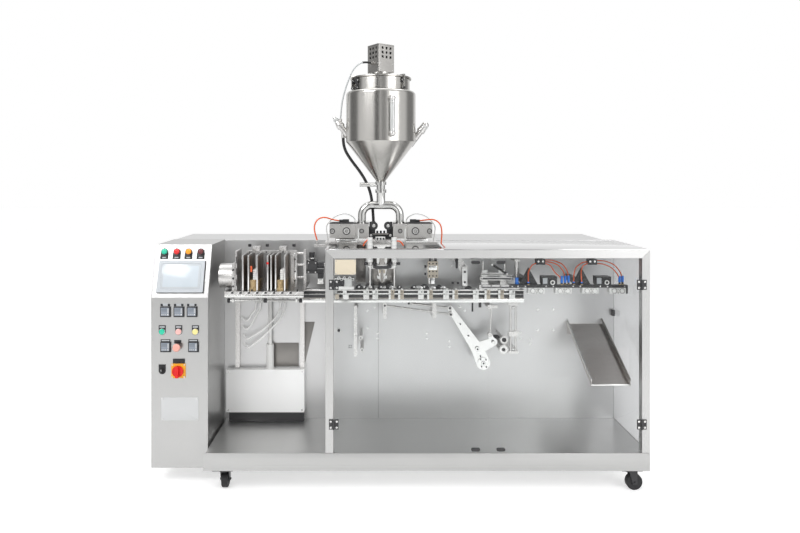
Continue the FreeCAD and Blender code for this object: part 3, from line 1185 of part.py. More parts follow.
def make_air_blocks():
    """Air blocks on arms high on the back wall, and the tube fittings on the cooling bar."""
    pieces = []
    top = BLOCK_BOTTOM + BLOCK_HEIGHT
    for x in AIR_BLOCKS:
        arm = box(x - 12, x + 12, COOL_Y - 8, WALL, top, top + 14)
        block = box(x - BLOCK_REACH, x + BLOCK_REACH, COOL_Y - 16, COOL_Y + 16, BLOCK_BOTTOM, top)
        pieces.append(join([arm, block]))
    for x, offset in FITTINGS:
        foot = V(x, COOL_Y + offset, COOL_TOP)
        pieces.append(rod(foot, foot + V(0, 0, FITTING_HEIGHT), FITTING_RADIUS))
    return group(pieces)


def link_plate(start, end, first, last, y, thick):
    """A flat link with round ends of two radii and straight sides that touch both."""
    (x0, z0), (x1, z1) = start, end
    along = math.atan2(z1 - z0, x1 - x0)
    spread = math.acos((first - last) / math.hypot(x1 - x0, z1 - z0))
    corners = []
    for x, z, radius, side in ((x0, z0, first, 1), (x1, z1, last, 1), (x1, z1, last, -1), (x0, z0, first, -1)):
        angle = along + side * spread
        corners.append((x + radius * math.cos(angle), y, z + radius * math.sin(angle)))
    ends = [rod((x0, y, z0), (x0, y + thick, z0), first), rod((x1, y, z1), (x1, y + thick, z1), last)]
    return join([prism(corners, (0, thick, 0))] + ends)


def make_bell_crank():
    """The rocking lever that drives the grippers: a long arm, a short arm and the flange of its shaft."""
    y = TRACK_Y + 20
    links = LINK_Y + LINK_EYE_THICK / 2
    arms = [link_plate(CRANK_TOP, CRANK_ELBOW, CRANK_TOP_RADIUS, CRANK_ELBOW_RADIUS, y, CRANK_THICK),
            link_plate(CRANK_ELBOW, CRANK_SHAFT, CRANK_ELBOW_RADIUS, CRANK_FOOT_RADIUS, y, CRANK_THICK),
            link_plate(CRANK_ELBOW, CRANK_EYE, CRANK_ELBOW_RADIUS + 2, CRANK_EYE_RADIUS, y, CRANK_THICK),
            link_plate(CRANK_EYE, CRANK_LUG, CRANK_EYE_RADIUS - 6, CRANK_LUG_RADIUS, y, CRANK_THICK)]
    x, z = CRANK_SHAFT
    shaft = rod((x, y, z), (x, WALL, z), CRANK_SHAFT_RADIUS)
    flange = rod((x, y - CRANK_FLANGE, z), (x, y, z), CRANK_FOOT_RADIUS - 6)
    spacers = [rod((x, links, z), (x, y, z), LINK_RADIUS + 3) for x, z in LINK_ENDS + (CRANK_LUG,)]
    return join(arms + [shaft, flange] + spacers)


def eyed_rod(start, end, radius, eyes):
    """A round link in the links' plane, with a round eye at each end that is named."""
    (x0, z0), (x1, z1) = start, end
    pieces = [rod((x0, LINK_Y, z0), (x1, LINK_Y, z1), radius)]
    for x, z in eyes:
        pieces.append(rod((x, LINK_Y - LINK_EYE_THICK / 2, z), (x, LINK_Y + LINK_EYE_THICK / 2, z), LINK_EYE))
    return pieces


def make_drive_links():
    y = LINK_Y
    half = DROP_WIDTH / 2
    pieces = [box(x - half, x + half, y - 10, WALL, DROP_BOTTOM, DROP_TOP) for x in TRACK_DROPS]
    for start, end in zip(LINK_STARTS, LINK_ENDS):
        pieces += eyed_rod(start, end, LINK_RADIUS, [end])
    pieces += eyed_rod(CRANK_LUG, LIFT_TOP, LINK_RADIUS - 1, [CRANK_LUG])
    x, z = PIVOT
    pieces.append(rod((x, y - 14, z), (x, WALL, z), PIVOT_RADIUS))
    pieces.append(box(x, x + 45, y - 8, y + 8, z - 8, z + 8))
    return group([join(pieces)] + guide_rods() + hand_knobs())


def guide_rods():
    y = TRACK_Y + 10
    left, right = GUIDE_RODS[0] - GUIDE_CLAMP, GUIDE_RODS[1] + GUIDE_CLAMP
    pieces = [rod((x, y, GUIDE_BOTTOM), (x, y, GUIDE_TOP), LINK_RADIUS) for x in GUIDE_RODS]
    pieces += [box(left, right, y - 10, WALL, z, z + 14) for z in (GUIDE_BOTTOM, GUIDE_TOP - 14)]
    pieces.append(box(left, right, y - 13, y + 13, GUIDE_BOTTOM + 96, GUIDE_BOTTOM + 122))
    x0, x1 = LIGHT_BAR_X, LIGHT_BAR_X + LIGHT_BAR_WIDTH
    bar = [box(x0, x1, y - 9, y + 9, LIGHT_BAR_BOTTOM, LIGHT_BAR_TOP)]
    bar += [box(x0, x1, y, WALL, z, z + 20) for z in (LIGHT_BAR_BOTTOM + 34, LIGHT_BAR_TOP - 45)]
    return [join(pieces), join(bar)]


def hand_knobs():
    y = TRACK_Y - 20
    x, z = HAND_KNOB
    knob = rod((x, y - 12, z), (x, y + 10, z), HAND_KNOB_RADIUS)
    shaft = rod((x, y, z), (x, WALL, z), 8)
    x, z = DRIVE_HUB
    body = rod((x, TRACK_Y, z), (x, WALL, z), DRIVE_HUB_RADIUS)
    rollers = [rod((x, TRACK_Y - 4, z), (x, WALL, z), ROLLER_RADIUS) for x, z in ROLLERS]
    return [join([knob, shaft]), body] + rollers


def make_chute():
    """A sloped tray with two lips, hung on the back wall by a flange."""
    right = CHUTE_LEFT + CHUTE_WIDTH
    low = CHUTE_TOP - CHUTE_DROP
    floor = prism([(CHUTE_LEFT, WALL, CHUTE_TOP), (CHUTE_LEFT, CHUTE_FRONT, low),
                   (CHUTE_LEFT, CHUTE_FRONT, low - CHUTE_SHEET),
                   (CHUTE_LEFT, WALL, CHUTE_TOP - CHUTE_SHEET)], (CHUTE_WIDTH, 0, 0))
    lip = [(CHUTE_LEFT, WALL, CHUTE_TOP - CHUTE_SHEET), (CHUTE_LEFT, WALL, CHUTE_TOP + CHUTE_LIP),
           (CHUTE_LEFT, CHUTE_FRONT, low + CHUTE_LIP), (CHUTE_LEFT, CHUTE_FRONT, low - CHUTE_SHEET)]
    lips = [prism(lip, (CHUTE_SHEET, 0, 0)), prism(lip, (CHUTE_SHEET, 0, 0))]
    lips[1].translate(V(CHUTE_WIDTH - CHUTE_SHEET, 0, 0))
    flange = box(CHUTE_LEFT, right, WALL - CHUTE_SHEET, WALL, CHUTE_TOP - 60, CHUTE_TOP)
    return join([floor, flange] + lips)


CASTERS = {"front_left": (CASTER_LEFT, CASTER_FRONT, 90), "front_right": (CASTER_RIGHT, CASTER_FRONT, 0),
           "rear_left": (CASTER_LEFT, CASTER_BACK, 60), "rear_right": (CASTER_REAR_RIGHT, CASTER_BACK, 120)}
RACE_TOP = UNDERSIDE - CASTER_PLATE_THICK
RACE_BOTTOM = RACE_TOP - RACE_HEIGHT


def make_caster_plates():
    plates = []
    half = CASTER_PLATE / 2
    for x, y, turn in CASTERS.values():
        plate = box(x - half, x + half, y - half, y + half, RACE_TOP, UNDERSIDE)
        race = rod((x, y, RACE_BOTTOM), (x, y, RACE_TOP), RACE_RADIUS)
        head_top = RACE_BOTTOM - FORK_SHEET - 2 * FORK_CLEARANCE
        pin = rod((x, y, head_top), (x, y, RACE_BOTTOM), KINGPIN_RADIUS)
        head = rod((x, y, head_top - KINGPIN_HEAD_THICK), (x, y, head_top), KINGPIN_HEAD)
        plates.append(join([plate, race, pin, head]))
    return group(plates)


def make_fork(x, y, turn):
    """A pressed fork with its axle, trailing along +X before it is turned."""
    top = RACE_BOTTOM - FORK_CLEARANCE
    half = FORK_GAP / 2
    crown = rod((0, 0, top - FORK_SHEET), (0, 0, top), RACE_RADIUS + 1)
    crown = join([crown, box(0, FORK_TRAIL + 12, -half - FORK_SHEET, half + FORK_SHEET, top - FORK_SHEET, top)])
    hole = rod((0, 0, top - FORK_SHEET), (0, 0, top), KINGPIN_RADIUS + FORK_CLEARANCE)
    cheeks = []
    for side in (-half - FORK_SHEET, half):
        cheek = prism([(-4, side, top), (FORK_TRAIL + 12, side, top),
                       (FORK_TRAIL + 11, side, WHEEL_RADIUS - 10), (FORK_TRAIL - 11, side, WHEEL_RADIUS - 10)],
                      (0, FORK_SHEET, 0))
        cheeks.append(cheek)
    reach = half + FORK_SHEET + 5
    axle = rod((FORK_TRAIL, -reach, WHEEL_RADIUS), (FORK_TRAIL, reach, WHEEL_RADIUS), AXLE_RADIUS)
    fork = join([crown.cut(hole), axle] + cheeks)
    fork.rotate(V(0, 0, 0), V(0, 0, 1), turn)
    fork.translate(V(x, y, 0))
    return fork


def make_wheel(x, y, turn):
    half = WHEEL_WIDTH / 2
    tyre = rod((FORK_TRAIL, -half, WHEEL_RADIUS), (FORK_TRAIL, half, WHEEL_RADIUS), WHEEL_RADIUS)
    tyre = tyre.makeFillet(5, tyre.Edges[0:1] + tyre.Edges[2:3])
    hub = rod((FORK_TRAIL, -half - 2, WHEEL_RADIUS), (FORK_TRAIL, half + 2, WHEEL_RADIUS), 14)
    bore = rod((FORK_TRAIL, -half - 3, WHEEL_RADIUS), (FORK_TRAIL, half + 3, WHEEL_RADIUS),
               AXLE_RADIUS + AXLE_CLEARANCE)
    wheel = join([tyre, hub]).cut(bore)
    wheel.rotate(V(0, 0, 0), V(0, 0, 1), turn)
    wheel.translate(V(x, y, 0))
    return wheel


save("base_pan", make_base_pan())
save("rear_cabinet", make_rear_cabinet())
save("control_console", make_console())
save("touch_screen", make_touch_screen())
save("pilot_lamps", make_pilot_lamps())
save("temperature_controllers", make_controllers())
save("control_bezels", make_control_bezels())
save("main_switch_knob", make_switch_knob())
save("emergency_button", make_stop_button())
save("guard_posts", make_guard_posts())
save("guard_rails", make_guard_rails())
save("guard_panels", make_guard_panels())
save("hinge_leaves", make_hinge_leaves())
save("left_door", make_left_door())
save("right_door", make_right_door())
save("left_door_fittings", make_door_fittings(LEFT_HINGE_X, 1))
save("right_door_fittings", make_door_fittings(RIGHT_HINGE_X, -1))
save("magazine_table", make_magazine_table())
save("bag_magazine", make_bag_magazine())
save("brass_stacks", make_brass_stacks())
save("magazine_drive", make_magazine_drive())
save("pickup_head", make_pickup_head())
save("cover_box", make_cover_box())
save("vacuum_manifold", make_vacuum_manifold())
save("gripper_track", make_gripper_track())
save("gripper_pads", make_gripper_pads())
save("dosing_deck", make_deck())
save("dosing_pumps", make_dosing_pumps())
save("air_valves", make_air_valves())
save("product_pipe", make_product_pipe())
save("hopper_shell", make_hopper_shell())
save("hopper_fittings", make_hopper_fittings())
save("hopper_lid", make_hopper_lid())
save("stirrer_drive", make_stirrer_drive())
save("fill_nozzles", make_fill_nozzles())
save("bag_opener", make_bag_opener())
save("seal_station", make_seal_station())
save("cooling_bar", make_cooling_bar())
save("cooling_heads", make_cooling_heads())
save("air_blocks", make_air_blocks())
save("hose_bracket", make_hose_bracket())
save("pump_tubes", make_pump_tubes())
save("cooling_tubes", make_cooling_tubes())
save("vacuum_tubes", make_vacuum_tubes())
save("motor_lead", hose(MOTOR_LEAD, LEAD, "motor_lead"))
save("sensor_conduit", hose(SENSOR_CONDUIT, CONDUIT, "sensor_conduit"))
save("left_hose", hose(LEFT_HOSE, TUBE_SIZE, "left_hose"))
save("right_hose", hose(RIGHT_HOSE, TUBE_SIZE, "right_hose"))
save("bell_crank", make_bell_crank())
save("drive_links", make_drive_links())
save("chute", make_chute())
save("caster_plates", make_caster_plates())
for name, (x, y, turn) in CASTERS.items():
    save("fork_" + name, make_fork(x, y, turn))
    save("wheel_" + name, make_wheel(x, y, turn))
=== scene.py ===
import json
import math

import bmesh
import bpy
from mathutils import Matrix, Vector


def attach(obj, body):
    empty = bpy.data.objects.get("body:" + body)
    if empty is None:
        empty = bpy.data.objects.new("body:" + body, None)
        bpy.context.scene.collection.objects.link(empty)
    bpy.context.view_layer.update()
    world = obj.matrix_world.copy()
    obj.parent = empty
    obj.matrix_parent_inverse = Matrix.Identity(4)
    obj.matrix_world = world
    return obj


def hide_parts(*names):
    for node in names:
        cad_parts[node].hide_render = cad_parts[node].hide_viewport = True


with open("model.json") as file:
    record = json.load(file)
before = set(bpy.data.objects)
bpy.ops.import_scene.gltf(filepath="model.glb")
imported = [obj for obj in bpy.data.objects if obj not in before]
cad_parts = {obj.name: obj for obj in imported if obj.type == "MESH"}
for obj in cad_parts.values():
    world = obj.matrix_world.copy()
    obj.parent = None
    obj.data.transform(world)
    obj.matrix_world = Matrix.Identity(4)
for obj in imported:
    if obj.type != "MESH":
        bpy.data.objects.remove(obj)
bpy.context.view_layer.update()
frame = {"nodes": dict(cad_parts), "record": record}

MM = 0.001
NODES = frame["nodes"]
SURFACES = {}

# Sizes shared with the frame, in millimetres
LEFT, RIGHT, FRONT, WALL = -1265.0, 1265.0, -429.0, 36.0
CONSOLE_FRONT, CONSOLE_FOLD, CONSOLE_TOP, SLOPE_DEPTH = -329.0, 966.0, 1232.0, 86.0
PAN_TOP, UNDERSIDE = 208.0, 118.0
TRACK_Y, PIPE_X = -129.0, -77.6


# Materials
def start_material(name, keep_shader=True):
    made = bpy.data.materials.new(name)
    made.use_nodes = True
    if not keep_shader:
        made.node_tree.nodes.remove(made.node_tree.nodes["Principled BSDF"])
    return made


def add(made, kind, feeds=(), **values):
    """A shader node with some of its input values, fed by pairs of input and socket."""
    node = made.node_tree.nodes.new("ShaderNode" + kind)
    for name, value in values.items():
        node.inputs[name.replace("_", " ")].default_value = value
    for name, socket in feeds:
        made.node_tree.links.new(socket, node.inputs[name])
    return node


def calculate(made, operation, first, second, clamp=False):
    """The result of a Math node for two sockets or numbers."""
    node = add(made, "Math")
    node.operation = operation
    node.use_clamp = clamp
    for field, value in zip(node.inputs, (first, second)):
        if isinstance(value, float):
            field.default_value = value
        else:
            made.node_tree.links.new(value, field)
    return node.outputs["Value"]


def show_surface(made, socket, output="Material Output"):
    made.node_tree.links.new(socket, made.node_tree.nodes[output].inputs["Surface"])


def material(name, colour, metallic=0.0, rough=0.5, grain=(1, 1, 1), grain_scale=300.0, bump=0.05,
             mottle=0.05, rough_change=0.06, coat=0.0, transmission=0.0, glow=0.0):
    """A surface with fine grain in its bump and roughness, and a slow change of colour over it."""
    made = start_material(name)
    shader, link = made.node_tree.nodes["Principled BSDF"], made.node_tree.links.new
    for field, value in (("Metallic", metallic), ("IOR", 1.45), ("Coat Weight", coat),
                         ("Coat Roughness", 0.12), ("Transmission Weight", transmission)):
        shader.inputs[field].default_value = value
    place = add(made, "TexCoord").outputs["Object"]
    stretch = add(made, "Mapping", [("Vector", place)], Scale=grain).outputs["Vector"]
    fine = add(made, "TexNoise", [("Vector", stretch)], Scale=grain_scale, Detail=3.0).outputs["Fac"]
    slow = add(made, "TexNoise", [("Vector", place)], Scale=6.0, Detail=4.0).outputs["Fac"]
    tone = add(made, "Mix")
    tone.data_type = "RGBA"
    tone.inputs["A"].default_value = [c * (1 - mottle) for c in colour] + [1]
    tone.inputs["B"].default_value = [min(1.0, c * (1 + mottle)) for c in colour] + [1]
    link(slow, tone.inputs["Factor"])
    level = add(made, "MapRange", [("Value", fine)], From_Min=0.3, From_Max=0.7,
                To_Min=max(0.02, rough - rough_change), To_Max=min(1.0, rough + rough_change))
    relief = add(made, "Bump", [("Height", fine)], Strength=bump, Distance=0.0004)
    link(tone.outputs["Result"], shader.inputs["Base Color"])
    link(level.outputs["Result"], shader.inputs["Roughness"])
    link(relief.outputs["Normal"], shader.inputs["Normal"])
    if glow:
        shader.inputs["Emission Color"].default_value = [*colour, 1]
        shader.inputs["Emission Strength"].default_value = glow
    SURFACES[name] = made


STEEL = {"metallic": 1.0, "grain_scale": 260.0, "bump": 0.10, "rough_change": 0.07, "mottle": 0.035}
UPRIGHT, LENGTHWISE, EVEN = (3, 3, 0.12), (0.12, 3, 3), (2, 2, 2)
for name, colour, rough, grain in (
        ("console_steel", (0.46, 0.46, 0.455), 0.36, UPRIGHT),
        ("wall_steel", (0.56, 0.56, 0.56), 0.36, LENGTHWISE),
        ("pan_steel", (0.6, 0.6, 0.595), 0.36, LENGTHWISE),
        ("frame_steel", (0.66, 0.66, 0.655), 0.33, EVEN),
        ("post_steel", (0.5, 0.5, 0.495), 0.33, UPRIGHT),
        # A darker copy of the pan steel for the pan's front face: painted shade.
        ("pan_front_shade_steel", (0.46, 0.46, 0.455), 0.36, LENGTHWISE),
        ("chute_steel", (0.5, 0.48, 0.465), 0.3, (3, 0.12, 3)),
        # A dark copy of the wall steel, painted with the dark reflection that the left bay's wall shows.
        ("painted_reflection_wall_steel", (0.25, 0.24, 0.228), 0.4, UPRIGHT),
        ("top_steel", (0.6, 0.6, 0.6), 0.13, LENGTHWISE),
        ("machined", (0.6, 0.59, 0.58), 0.28, (0.4, 2, 2)),
        ("bright_steel", (0.72, 0.72, 0.71), 0.22, (0.4, 2, 2)),
        ("worn_steel", (0.3, 0.285, 0.27), 0.34, (0.3, 2, 2)),
        ("block_steel", (0.58, 0.57, 0.555), 0.33, EVEN),
        ("dark_steel", (0.2, 0.19, 0.18), 0.33, LENGTHWISE),
        ("motor_steel", (0.42, 0.41, 0.395), 0.36, (3, 3, 0.2)),
        ("hopper_steel", (0.46, 0.45, 0.43), 0.2, (3, 3, 0.15))):
    material(name, colour, rough=rough, grain=grain, **STEEL)
material("chrome", (0.56, 0.56, 0.55), rough=0.1, grain=EVEN, metallic=1.0, bump=0.02,
         rough_change=0.03, mottle=0.03)
material("screw_steel", (0.7, 0.7, 0.69), rough=0.2, metallic=1.0, bump=0.02, rough_change=0.04)
material("white_paint", (0.94, 0.94, 0.935), rough=0.35, bump=0.06, coat=0.2, mottle=0.02)
material("white_plastic", (0.8, 0.8, 0.785), rough=0.38, bump=0.04, mottle=0.03)
material("black_plastic", (0.018, 0.018, 0.02), rough=0.42, bump=0.08, mottle=0.15)
material("black_metal", (0.03, 0.03, 0.032), rough=0.38, bump=0.06, coat=0.15, mottle=0.15)
material("grey_plastic", (0.1, 0.115, 0.13), rough=0.36, bump=0.05)
material("controller_face", (0.25, 0.28, 0.33), rough=0.25, bump=0.0, coat=0.5)
material("label_grey", (0.45, 0.47, 0.49), rough=0.4, bump=0.03)
material("name_plate", (0.62, 0.63, 0.635), rough=0.4, bump=0.03)
material("beige", (0.45, 0.4, 0.33), rough=0.4, bump=0.05)
material("clear_cap", (0.74, 0.755, 0.75), rough=0.12, bump=0.0, coat=0.7, transmission=0.35)
material("display", (0.2, 0.23, 0.27), rough=0.12, bump=0.0, coat=0.6)
material("screen_glass", (0.56, 0.595, 0.625), rough=0.16, bump=0.0, coat=0.5, mottle=0.03)
material("screen_field", (0.6, 0.66, 0.71), rough=0.22, bump=0.0, coat=0.3, mottle=0.04)
material("screen_rim", (0.5, 0.53, 0.56), rough=0.3, bump=0.04)
material("rubber", (0.02, 0.02, 0.021), rough=0.62, bump=0.15, grain_scale=500, mottle=0.2)
material("brass", (0.46, 0.35, 0.2), rough=0.3, metallic=1.0, bump=0.06)
material("bronze_plate", (0.2, 0.16, 0.135), rough=0.42, metallic=0.6, bump=0.1)
material("red", (0.76, 0.006, 0.004), rough=0.38, bump=0.03, coat=0.08)
material("yellow", (0.92, 0.42, 0.02), rough=0.4, bump=0.04, coat=0.08)
material("pink", (0.85, 0.42, 0.35), rough=0.36, bump=0.03, coat=0.15)
for name, colour, glow in (("green", (0.01, 0.48, 0.3), 0.25), ("red", (0.7, 0.008, 0.008), 0.2),
                           ("yellow", (0.85, 0.3, 0.005), 0.25), ("dark", (0.13, 0.006, 0.01), 0.0)):
    material("lamp_" + name, colour, rough=0.14, bump=0.0, coat=0.6, glow=glow)
for name, colour in (("pink", (0.85, 0.45, 0.42)), ("cream", (0.84, 0.74, 0.3))):
    material("button_" + name, colour, rough=0.25, bump=0.0, coat=0.4, glow=0.1)
material("orange_tube", (0.75, 0.12, 0.03), rough=0.22, bump=0.02, coat=0.4, mottle=0.08)
material("grey_tube", (0.5, 0.52, 0.53), rough=0.25, bump=0.02, coat=0.4, mottle=0.08)
material("milk_tube", (0.68, 0.69, 0.68), rough=0.25, bump=0.02, coat=0.4, mottle=0.05)
# The vacuum tubes' white material glows a little though the tubes hold no lamp: painted light that brightens
# them.
material("white_tube_painted_glow", (0.88, 0.88, 0.87), rough=0.25, bump=0.02, coat=0.4, mottle=0.03, glow=0.12)
# Near-black matte material that paints the shade inside holes.
material("painted_hole_shade", (0.004, 0.004, 0.004), rough=0.95, bump=0.02, mottle=0.1)
material("blue_fitting", (0.02, 0.2, 0.75), rough=0.3, bump=0.02, coat=0.3)
material("cream_label", (0.7, 0.62, 0.48), rough=0.55, bump=0.03)


def clear_material(name, tint, cover):
    """Clear sheet: mostly see-through, with a gloss on its outer faces that grows at a glancing view."""
    made = start_material(name, keep_shader=False)
    through = add(made, "BsdfTransparent", Color=[*tint, 1])
    shine = add(made, "BsdfGlossy", Roughness=0.03)
    dust = add(made, "TexNoise", [("Vector", add(made, "TexCoord").outputs["Object"])], Scale=9.0)
    film = add(made, "MapRange", [("Value", dust.outputs["Fac"])], To_Min=cover * 0.7, To_Max=cover * 1.3)
    edge = add(made, "Fresnel", IOR=1.35)
    outer = calculate(made, "SUBTRACT", 1.0, add(made, "NewGeometry").outputs["Backfacing"])
    gloss = calculate(made, "MULTIPLY", edge.outputs["Fac"], outer)
    total = calculate(made, "ADD", film.outputs["Result"], gloss, clamp=True)
    blend = add(made, "MixShader", [("Fac", total), (1, through.outputs["BSDF"]), (2, shine.outputs["BSDF"])])
    show_surface(made, blend.outputs["Shader"])
    SURFACES[name] = made


clear_material("acrylic", (0.985, 0.99, 0.99), 0.0)
clear_material("side_sheet", (0.78, 0.78, 0.785), 0.06)


# Solid forms
def circle(start, axis, side, seg):
    """A function that gives a ring of points about an axis for a radius and a distance along it."""
    other = axis.cross(side)

    def ring(radius, distance):
        return [start + axis * distance + (side * math.cos(a) + other * math.sin(a)) * radius
                for a in (2 * math.pi * i / seg for i in range(seg))]
    return ring


class Form:
    """Solids gathered in one mesh, in millimetres, placed by an optional matrix."""

    def __init__(self, at=None):
        self.mesh = bmesh.new()
        self.at = at or Matrix.Identity(4)

    def place(self, verts):
        for vert in verts:
            vert.co = self.at @ vert.co

    def soften(self, lines, made, edge):
        """Bevels the lines and gives the solid's points after that."""
        result = bmesh.ops.bevel(self.mesh, geom=lines, offset=edge, segments=2, affect="EDGES", profile=0.5)
        return list({v for f in result["faces"] for v in f.verts} | {v for v in made if v.is_valid})

    def box(self, x0, x1, y0, y1, z0, z1, edge):
        made = bmesh.ops.create_cube(self.mesh, size=1.0)["verts"]
        (x0, x1), (y0, y1), (z0, z1) = sorted((x0, x1)), sorted((y0, y1)), sorted((z0, z1))
        for vert in made:
            side = vert.co.copy()
            vert.co = (x0 if side.x < 0 else x1, y0 if side.y < 0 else y1, z0 if side.z < 0 else z1)
        edge = min(edge, 0.45 * min(x1 - x0, y1 - y0, z1 - z0))
        if edge > 0:
            lines = list({line for vert in made for line in vert.link_edges})
            made = self.soften(lines, made, edge)
        self.place(made)

    def lathe(self, base, axis, profile, seg=32):
        """Rings of (radius, distance along the axis); a radius of 0 closes an end."""
        base, axis = Vector(base), Vector(axis).normalized()
        side = axis.orthogonal() if abs(axis.z) >= 0.9 else axis.cross(Vector((0, 0, 1)))
        ring_at = circle(base, axis, side.normalized(), seg)
        rings = [[self.mesh.verts.new(base + axis * distance)] if radius <= 0 else
                 [self.mesh.verts.new(point) for point in ring_at(radius, distance)]
                 for radius, distance in profile]
        for low, high in zip(rings, rings[1:]):
            for i in range(seg):
                j = (i + 1) % seg
                if len(low) == 1 and len(high) == 1:
                    continue
                if len(low) == 1:
                    self.mesh.faces.new((low[0], high[j], high[i]))
                elif len(high) == 1:
                    self.mesh.faces.new((low[i], low[j], high[0]))
                else:
                    self.mesh.faces.new((low[i], low[j], high[j], high[i]))
        for ring, flip in ((rings[0], True), (rings[-1], False)):
            if len(ring) > 1:
                self.mesh.faces.new(list(reversed(ring)) if flip else ring)
        self.place(vert for ring in rings for vert in ring)

    def rod(self, start, end, radius, edge, seg=20):
        start, end = Vector(start), Vector(end)
        length = (end - start).length
        edge = min(edge, radius * 0.45, length * 0.45)
        profile = [(radius - edge, 0), (radius, edge), (radius, length - edge), (radius - edge, length)]
        self.lathe(start, end - start, profile, seg)

    def pipe(self, start, end, radius, bore, edge=0.4, seg=28):
        """A ring or pipe with an open bore."""
        start, end = Vector(start), Vector(end)
        axis, length = (end - start).normalized(), (end - start).length
        side = axis.cross(Vector((0, 0, 1))) if abs(axis.z) < 0.9 else Vector((1, 0, 0))
        ring_at = circle(start, axis, side.normalized(), seg)
        rings = [[self.mesh.verts.new(point) for point in ring_at(r, d)] for r, d in
                 ((bore, 0), (radius - edge, 0), (radius, edge), (radius, length - edge),
                  (radius - edge, length), (bore, length))]
        for low, high in zip(rings, rings[1:] + rings[:1]):
            for i in range(seg):
                j = (i + 1) % seg
                self.mesh.faces.new((low[i], low[j], high[j], high[i]))
        self.place(vert for ring in rings for vert in ring)

    def plate(self, points, y0, y1, edge):
        """A flat plate from its outline of (x, z) points, between two depths."""
        near, far = ([self.mesh.verts.new((x, y, z)) for x, z in points] for y in (y0, y1))
        faces = [self.mesh.faces.new(near), self.mesh.faces.new(list(reversed(far)))]
        for i in range(len(points)):
            j = (i + 1) % len(points)
            faces.append(self.mesh.faces.new((near[j], near[i], far[i], far[j])))
        made = near + far
        bmesh.ops.recalc_face_normals(self.mesh, faces=faces)
        if edge > 0:
            made = self.soften(list({line for face in faces for line in face.edges}), made, edge)
        self.place(made)

    def bolt(self, centre, normal, size):
        """A socket screw: a round head with a six-sided recess, on a washer."""
        centre, normal, head = Vector(centre), Vector(normal).normalized(), size * 0.6
        self.lathe(centre, normal, [(size * 1.25, 0), (size * 1.25, 0.9), (0, 0.9)], 20)
        self.lathe(centre + normal * 0.9, normal,
                   [(size * 0.92, 0), (size * 0.95, head * 0.7), (size * 0.8, head), (size * 0.45, head),
                    (size * 0.42, head * 0.4), (0, head * 0.4)], 18)

    def dome(self, centre, normal, radius, height):
        steps = 6
        profile = [(radius * math.cos(math.pi / 2 * i / steps), height * math.sin(math.pi / 2 * i / steps))
                   for i in range(steps)] + [(0, height)]
        self.lathe(centre, normal, profile, 28)


def rounded_outline(x0, x1, z0, z1, corner, steps=6):
    points = []
    for cx, cz, start in ((x1 - corner, z1 - corner, 0), (x0 + corner, z1 - corner, 90),
                          (x0 + corner, z0 + corner, 180), (x1 - corner, z0 + corner, 270)):
        for i in range(steps + 1):
            a = math.radians(start + 90 * i / steps)
            points.append((cx + corner * math.cos(a), cz + corner * math.sin(a)))
    return points


# Pieces and finishes
def add_object(name, data):
    made = bpy.data.objects.new(name, data)
    bpy.context.scene.collection.objects.link(made)
    return made


def add_piece(name, data, body, slot, *replaces):
    piece = add_object(name, data)
    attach(piece, body)
    if replaces:
        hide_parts(*replaces)
    return piece


def finish_mesh(mesh, surface, smooth=35):
    mesh.polygons.foreach_set("use_smooth", [True] * len(mesh.polygons))
    mesh.set_sharp_from_angle(angle=math.radians(smooth))
    mesh.materials.clear()
    mesh.materials.append(SURFACES[surface])


def dress(node, surface, edge):
    """Shows a node's own shape again with softened edges and its finish."""
    shell = bmesh.new()
    shell.from_mesh(NODES[node].data)
    bmesh.ops.remove_doubles(shell, verts=shell.verts, dist=0.00002)
    bmesh.ops.dissolve_limit(shell, angle_limit=math.radians(1.0), verts=shell.verts, edges=shell.edges)
    mesh = bpy.data.meshes.new(node + "_finish")
    shell.to_mesh(mesh)
    shell.free()
    finish_mesh(mesh, surface, 28)
    record = frame["record"]
    body = next(body for body, members in record["behaviour"]["bodies"].items() if node in members)
    slot = next(row["material_slot"] for row in record["subparts"] if row["node"] == node)
    soften = add_piece(node + "_finish", mesh, body, slot, node).modifiers.new("edges", "BEVEL")
    soften.width = edge * MM
    soften.segments = 2
    soften.limit_method = "ANGLE"
    soften.angle_limit = math.radians(34)
    soften.harden_normals = True


def smooth_curve(name, points, radius, steps, sides):
    """A round line on one smooth spline through its control points, in metres."""
    curve = bpy.data.curves.new(name, "CURVE")
    curve.dimensions = "3D"
    spline = curve.splines.new("NURBS")
    spline.points.add(len(points) - 1)
    for held, point in zip(spline.points, points):
        held.co = (*point, 1.0)
    spline.order_u = 3
    spline.use_endpoint_u = True
    spline.resolution_u = steps
    curve.bevel_depth = radius
    curve.bevel_resolution = sides
    curve.use_fill_caps = True
    return curve


# Free hoses and leads
def free_cord(node, points, diameter, surface, slot):
    curve = smooth_curve(node + "_line", points, diameter / 2, 12, 5)
    curve.materials.append(SURFACES[surface])
    piece = add_piece(node + "_line", curve, "machine", slot, node)


